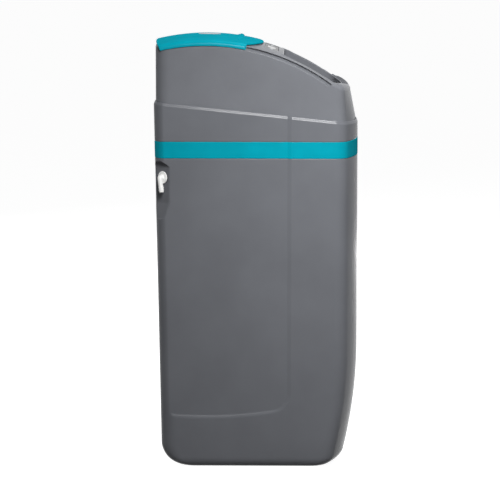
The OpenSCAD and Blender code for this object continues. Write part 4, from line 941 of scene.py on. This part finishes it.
# Distance and radius along the shank and flange, then along the barbed spout
SHANK = [
    (-8, 4.2), (-16.5, 4.2), (-16.5, 9.4), (-16.0, 9.9), (2, 9.9), (2, 15.4), (2.15, 15.8), (2.5, 16.0),
    (4.2, 16.0), (4.7, 15.8), (5.0, 15.3), (5.0, 8.9), (5.15, 8.0), (5.6, 7.5), (6.2, 7.35), (7.0, 7.3),
]
SPOUT = [
    (9, 6.05), (14, 6.0), (24.2, 6.0), (24.6, 6.5), (25.0, 6.85), (25.5, 6.9), (28.2, 6.0), (30.2, 6.0),
    (30.6, 6.5), (31.0, 6.85), (31.5, 6.9), (34.4, 6.2), (37.2, 5.9), (37.8, 5.7), (38.0, 5.3),
    (38.0, 4.4), (37.6, 4.1), (24, 4.1),
]


def make_elbow():
    """White elbow with a flange on the scoop's flat and a barbed spout that hangs down."""
    angles = np.linspace(0, 2 * math.pi, 48, endpoint=False)
    out, down = np.array([0.0, 1.0, 0.0]), np.array([-math.sin(ELBOW_LEAN), 0.0, -math.cos(ELBOW_LEAN)])
    across = np.cross(out, down)

    def circle(centre, heading, radius):
        other = np.cross(across, heading)
        return centre + radius * (np.cos(angles)[:, None] * across + np.sin(angles)[:, None] * other)

    loops = []
    for y, radius in SHANK:
        loops.append(circle(out * y, out, radius))
    corner = out * ELBOW_REACH
    first, last = out * 7.6, corner + down * 5.2
    for share in np.linspace(0, 1, 11)[1:]:
        rest = 1 - share
        place = rest ** 2 * first + 2 * rest * share * corner + share ** 2 * last
        heading = rest * (corner - first) + share * (last - corner)
        loops.append(circle(place, heading / np.linalg.norm(heading), 7.3 - 1.1 * share ** 2))
    for along, radius in SPOUT:
        loops.append(circle(corner + down * along, down, radius))
    verts, faces = rings([fitting_place(loop) for loop in loops])
    return piece("elbow_spout", verts, faces, "cabinet", ["overflow_elbow"], "white_plastic", 42.0)


make_elbow()

# Control panel, window and keys


def make_panel():
    """Panel plate with its window and four keys."""
    floor, top = PANEL_TOP_R - PANEL_T, PANEL_TOP_R
    levels = [(floor, 0), (top - 0.6, 0), (top - 0.2, 0.15), (top, 0.6)]
    plate = solid("panel_plate", *rings(slab(PANEL_W / 2 - 0.4, PANEL_L / 2 - 0.4, levels, 1.6)))
    through = [(floor - 2, 0), (top - 0.5, 0), (top - 0.15, -0.12), (top + 0.05, -0.5), (top + 2, -0.5)]
    cut(plate, "window_cut", slab(WINDOW_W / 2, WINDOW_L / 2, through, 1.0))
    for place in KEY_PLACES.values():
        cut(plate, "key_cut", slab(KEY_W / 2 + 0.3, KEY_L / 2 + 0.3, through, 1.9, (place, 0.0)))
    dress(plate, "cabinet", ["control_panel"], "panel_black", 30.0)
    glass = [(floor, 0), (top - 0.7, 0), (top - 0.35, 0.12), (top - 0.2, 0.4), (top - 0.2, 6.0)]
    pane = slab(WINDOW_W / 2 - 0.2, WINDOW_L / 2 - 0.2, glass, 0.9)
    piece("window_pane", *rings(pane), "cabinet", ["display_window"], "window", 40.0)
    rim = floor - 0.3
    levels = [(rim - 1.6, -KEY_RIM), (rim, -KEY_RIM), (rim, 0), (rim + 2.9, 0), (rim + 3.3, 0.14),
              (rim + 3.55, 0.5), (rim + 3.58, 0.9), (rim + 3.5, 1.6), (rim + 3.36, 2.6), (rim + 3.3, 3.6)]
    for name, place in KEY_PLACES.items():
        body = name.replace("key_", "") + "_key"
        cap = slab(KEY_W / 2, KEY_L / 2, levels, 1.6, (place, 0.0))
        piece(name + "_cap", *rings(cap), body, [name], "key_grey", 40.0)


make_panel()

# Stage, light and camera


FLOOR_REACH, FLOOR_Z, FLOOR_GLOW, FLOOR_MATT, FLOOR_PAINT = 40.0, -0.0005, 0.955, 0.45, 0.16
AMBIENT = 0.04
AZIMUTH, ELEVATION, DISTANCE = math.radians(-89.0), math.radians(7.6), 8.0
AIM, VIEW_WIDTH, SENSOR = Vector((0.0, 0.0177, 0.546)), 1.310, 36.0


def lamp(name, place, aim, size, watts, spread=180.0):
    """Rectangular lamp turned towards a point."""
    data = bpy.data.lights.new(name, "AREA")
    data.shape = "RECTANGLE"
    data.size, data.size_y = size
    data.energy = watts
    data.spread = math.radians(spread)
    made = bpy.data.objects.new(name, data)
    made.location = place
    made.rotation_euler = (Vector(aim) - Vector(place)).to_track_quat("-Z", "Y").to_euler()
    bpy.context.scene.collection.objects.link(made)
    return made


def view_ray(tree):
    """1 for camera, glossy and clear rays."""
    nodes, links = tree.nodes, tree.links
    path = nodes.new("ShaderNodeLightPath")
    first = nodes.new("ShaderNodeMath")
    first.operation = "MAXIMUM"
    links.new(path.outputs["Is Camera Ray"], first.inputs[0])
    links.new(path.outputs["Is Glossy Ray"], first.inputs[1])
    second = nodes.new("ShaderNodeMath")
    second.operation = "MAXIMUM"
    links.new(first.outputs[0], second.inputs[0])
    links.new(path.outputs["Is Transmission Ray"], second.inputs[1])
    return second.outputs[0]


def white_for_views(tree, shader_out, target):
    """Plain white where a view ray meets it; its own shader elsewhere."""
    nodes, links = tree.nodes, tree.links
    white = nodes.new("ShaderNodeBackground")
    white.inputs["Color"].default_value = (1, 1, 1, 1)
    white.inputs["Strength"].default_value = 1.0
    mix = nodes.new("ShaderNodeMixShader")
    links.new(view_ray(tree), mix.inputs["Fac"])
    links.new(shader_out, mix.inputs[1])
    links.new(white.outputs[0], mix.inputs[2])
    links.new(mix.outputs[0], target)


def shadow_catch(tree, shader):
    """Pale floor that views see as white with a soft shadow."""
    nodes, links = tree.nodes, tree.links
    glow = nodes.new("ShaderNodeEmission")
    glow.inputs["Color"].default_value = (1, 1, 1, 1)
    glow.inputs["Strength"].default_value = FLOOR_GLOW
    matt = nodes.new("ShaderNodeBsdfDiffuse")
    matt.inputs["Color"].default_value = (FLOOR_MATT, FLOOR_MATT, FLOOR_MATT, 1)
    shown = nodes.new("ShaderNodeAddShader")
    links.new(glow.outputs[0], shown.inputs[0])
    links.new(matt.outputs[0], shown.inputs[1])
    mix = nodes.new("ShaderNodeMixShader")
    links.new(view_ray(tree), mix.inputs["Fac"])
    links.new(shader.outputs[0], mix.inputs[1])
    links.new(shown.outputs[0], mix.inputs[2])
    links.new(mix.outputs[0], nodes["Material Output"].inputs["Surface"])


world = bpy.data.worlds.new("studio")
bpy.context.scene.world = world
world.use_nodes = True
ambient = world.node_tree.nodes["Background"]
ambient.inputs["Color"].default_value = (0.96, 0.98, 1.0, 1)
ambient.inputs["Strength"].default_value = AMBIENT
white_for_views(world.node_tree, ambient.outputs[0], world.node_tree.nodes["World Output"].inputs["Surface"])

floor_mesh = bpy.data.meshes.new("floor")
corners = [(x * FLOOR_REACH, y * FLOOR_REACH, FLOOR_Z) for x, y in ((-1, -1), (1, -1), (1, 1), (-1, 1))]
floor_mesh.from_pydata(corners, [], [(0, 1, 2, 3)])
floor = bpy.data.objects.new("floor", floor_mesh)
bpy.context.scene.collection.objects.link(floor)
floor_paint = bpy.data.materials.new("floor_paint")
floor_paint.use_nodes = True
paint = floor_paint.node_tree.nodes["Principled BSDF"]
paint.inputs["Base Color"].default_value = (FLOOR_PAINT, FLOOR_PAINT, FLOOR_PAINT, 1)
paint.inputs["Roughness"].default_value = 0.9
shadow_catch(floor_paint.node_tree, paint)
floor_mesh.materials.append(floor_paint)

lamp("front_light", (4.3, -1.5, 0.9), (0, -0.1, 0.6), (0.8, 1.6), 90).visible_glossy = False
lamp("side_light", (-1.92, -0.28, 1.92), (-0.16, -0.36, 0.76), (0.7, 0.7), 11.0, 70.0)
lamp("top_light", (0.4, -0.9, 3.0), (0, -0.05, 0.9), (1.6, 1.6), 36)
lamp("back_light", (2.9, 2.9, 1.8), (0, 0.1, 0.6), (1.6, 1.6), 130).visible_glossy = False

back = Vector((math.sin(AZIMUTH) * math.cos(ELEVATION), -math.cos(AZIMUTH) * math.cos(ELEVATION),
               math.sin(ELEVATION)))
lens = bpy.data.cameras.new("camera")
lens.sensor_width = SENSOR
lens.lens = SENSOR * DISTANCE / VIEW_WIDTH
camera = bpy.data.objects.new("camera", lens)
camera.location = AIM + back * DISTANCE
camera.rotation_euler = (-back).to_track_quat("-Z", "Y").to_euler()
bpy.context.scene.collection.objects.link(camera)
bpy.context.scene.camera = camera
bpy.context.scene.view_settings.view_transform = "Standard"
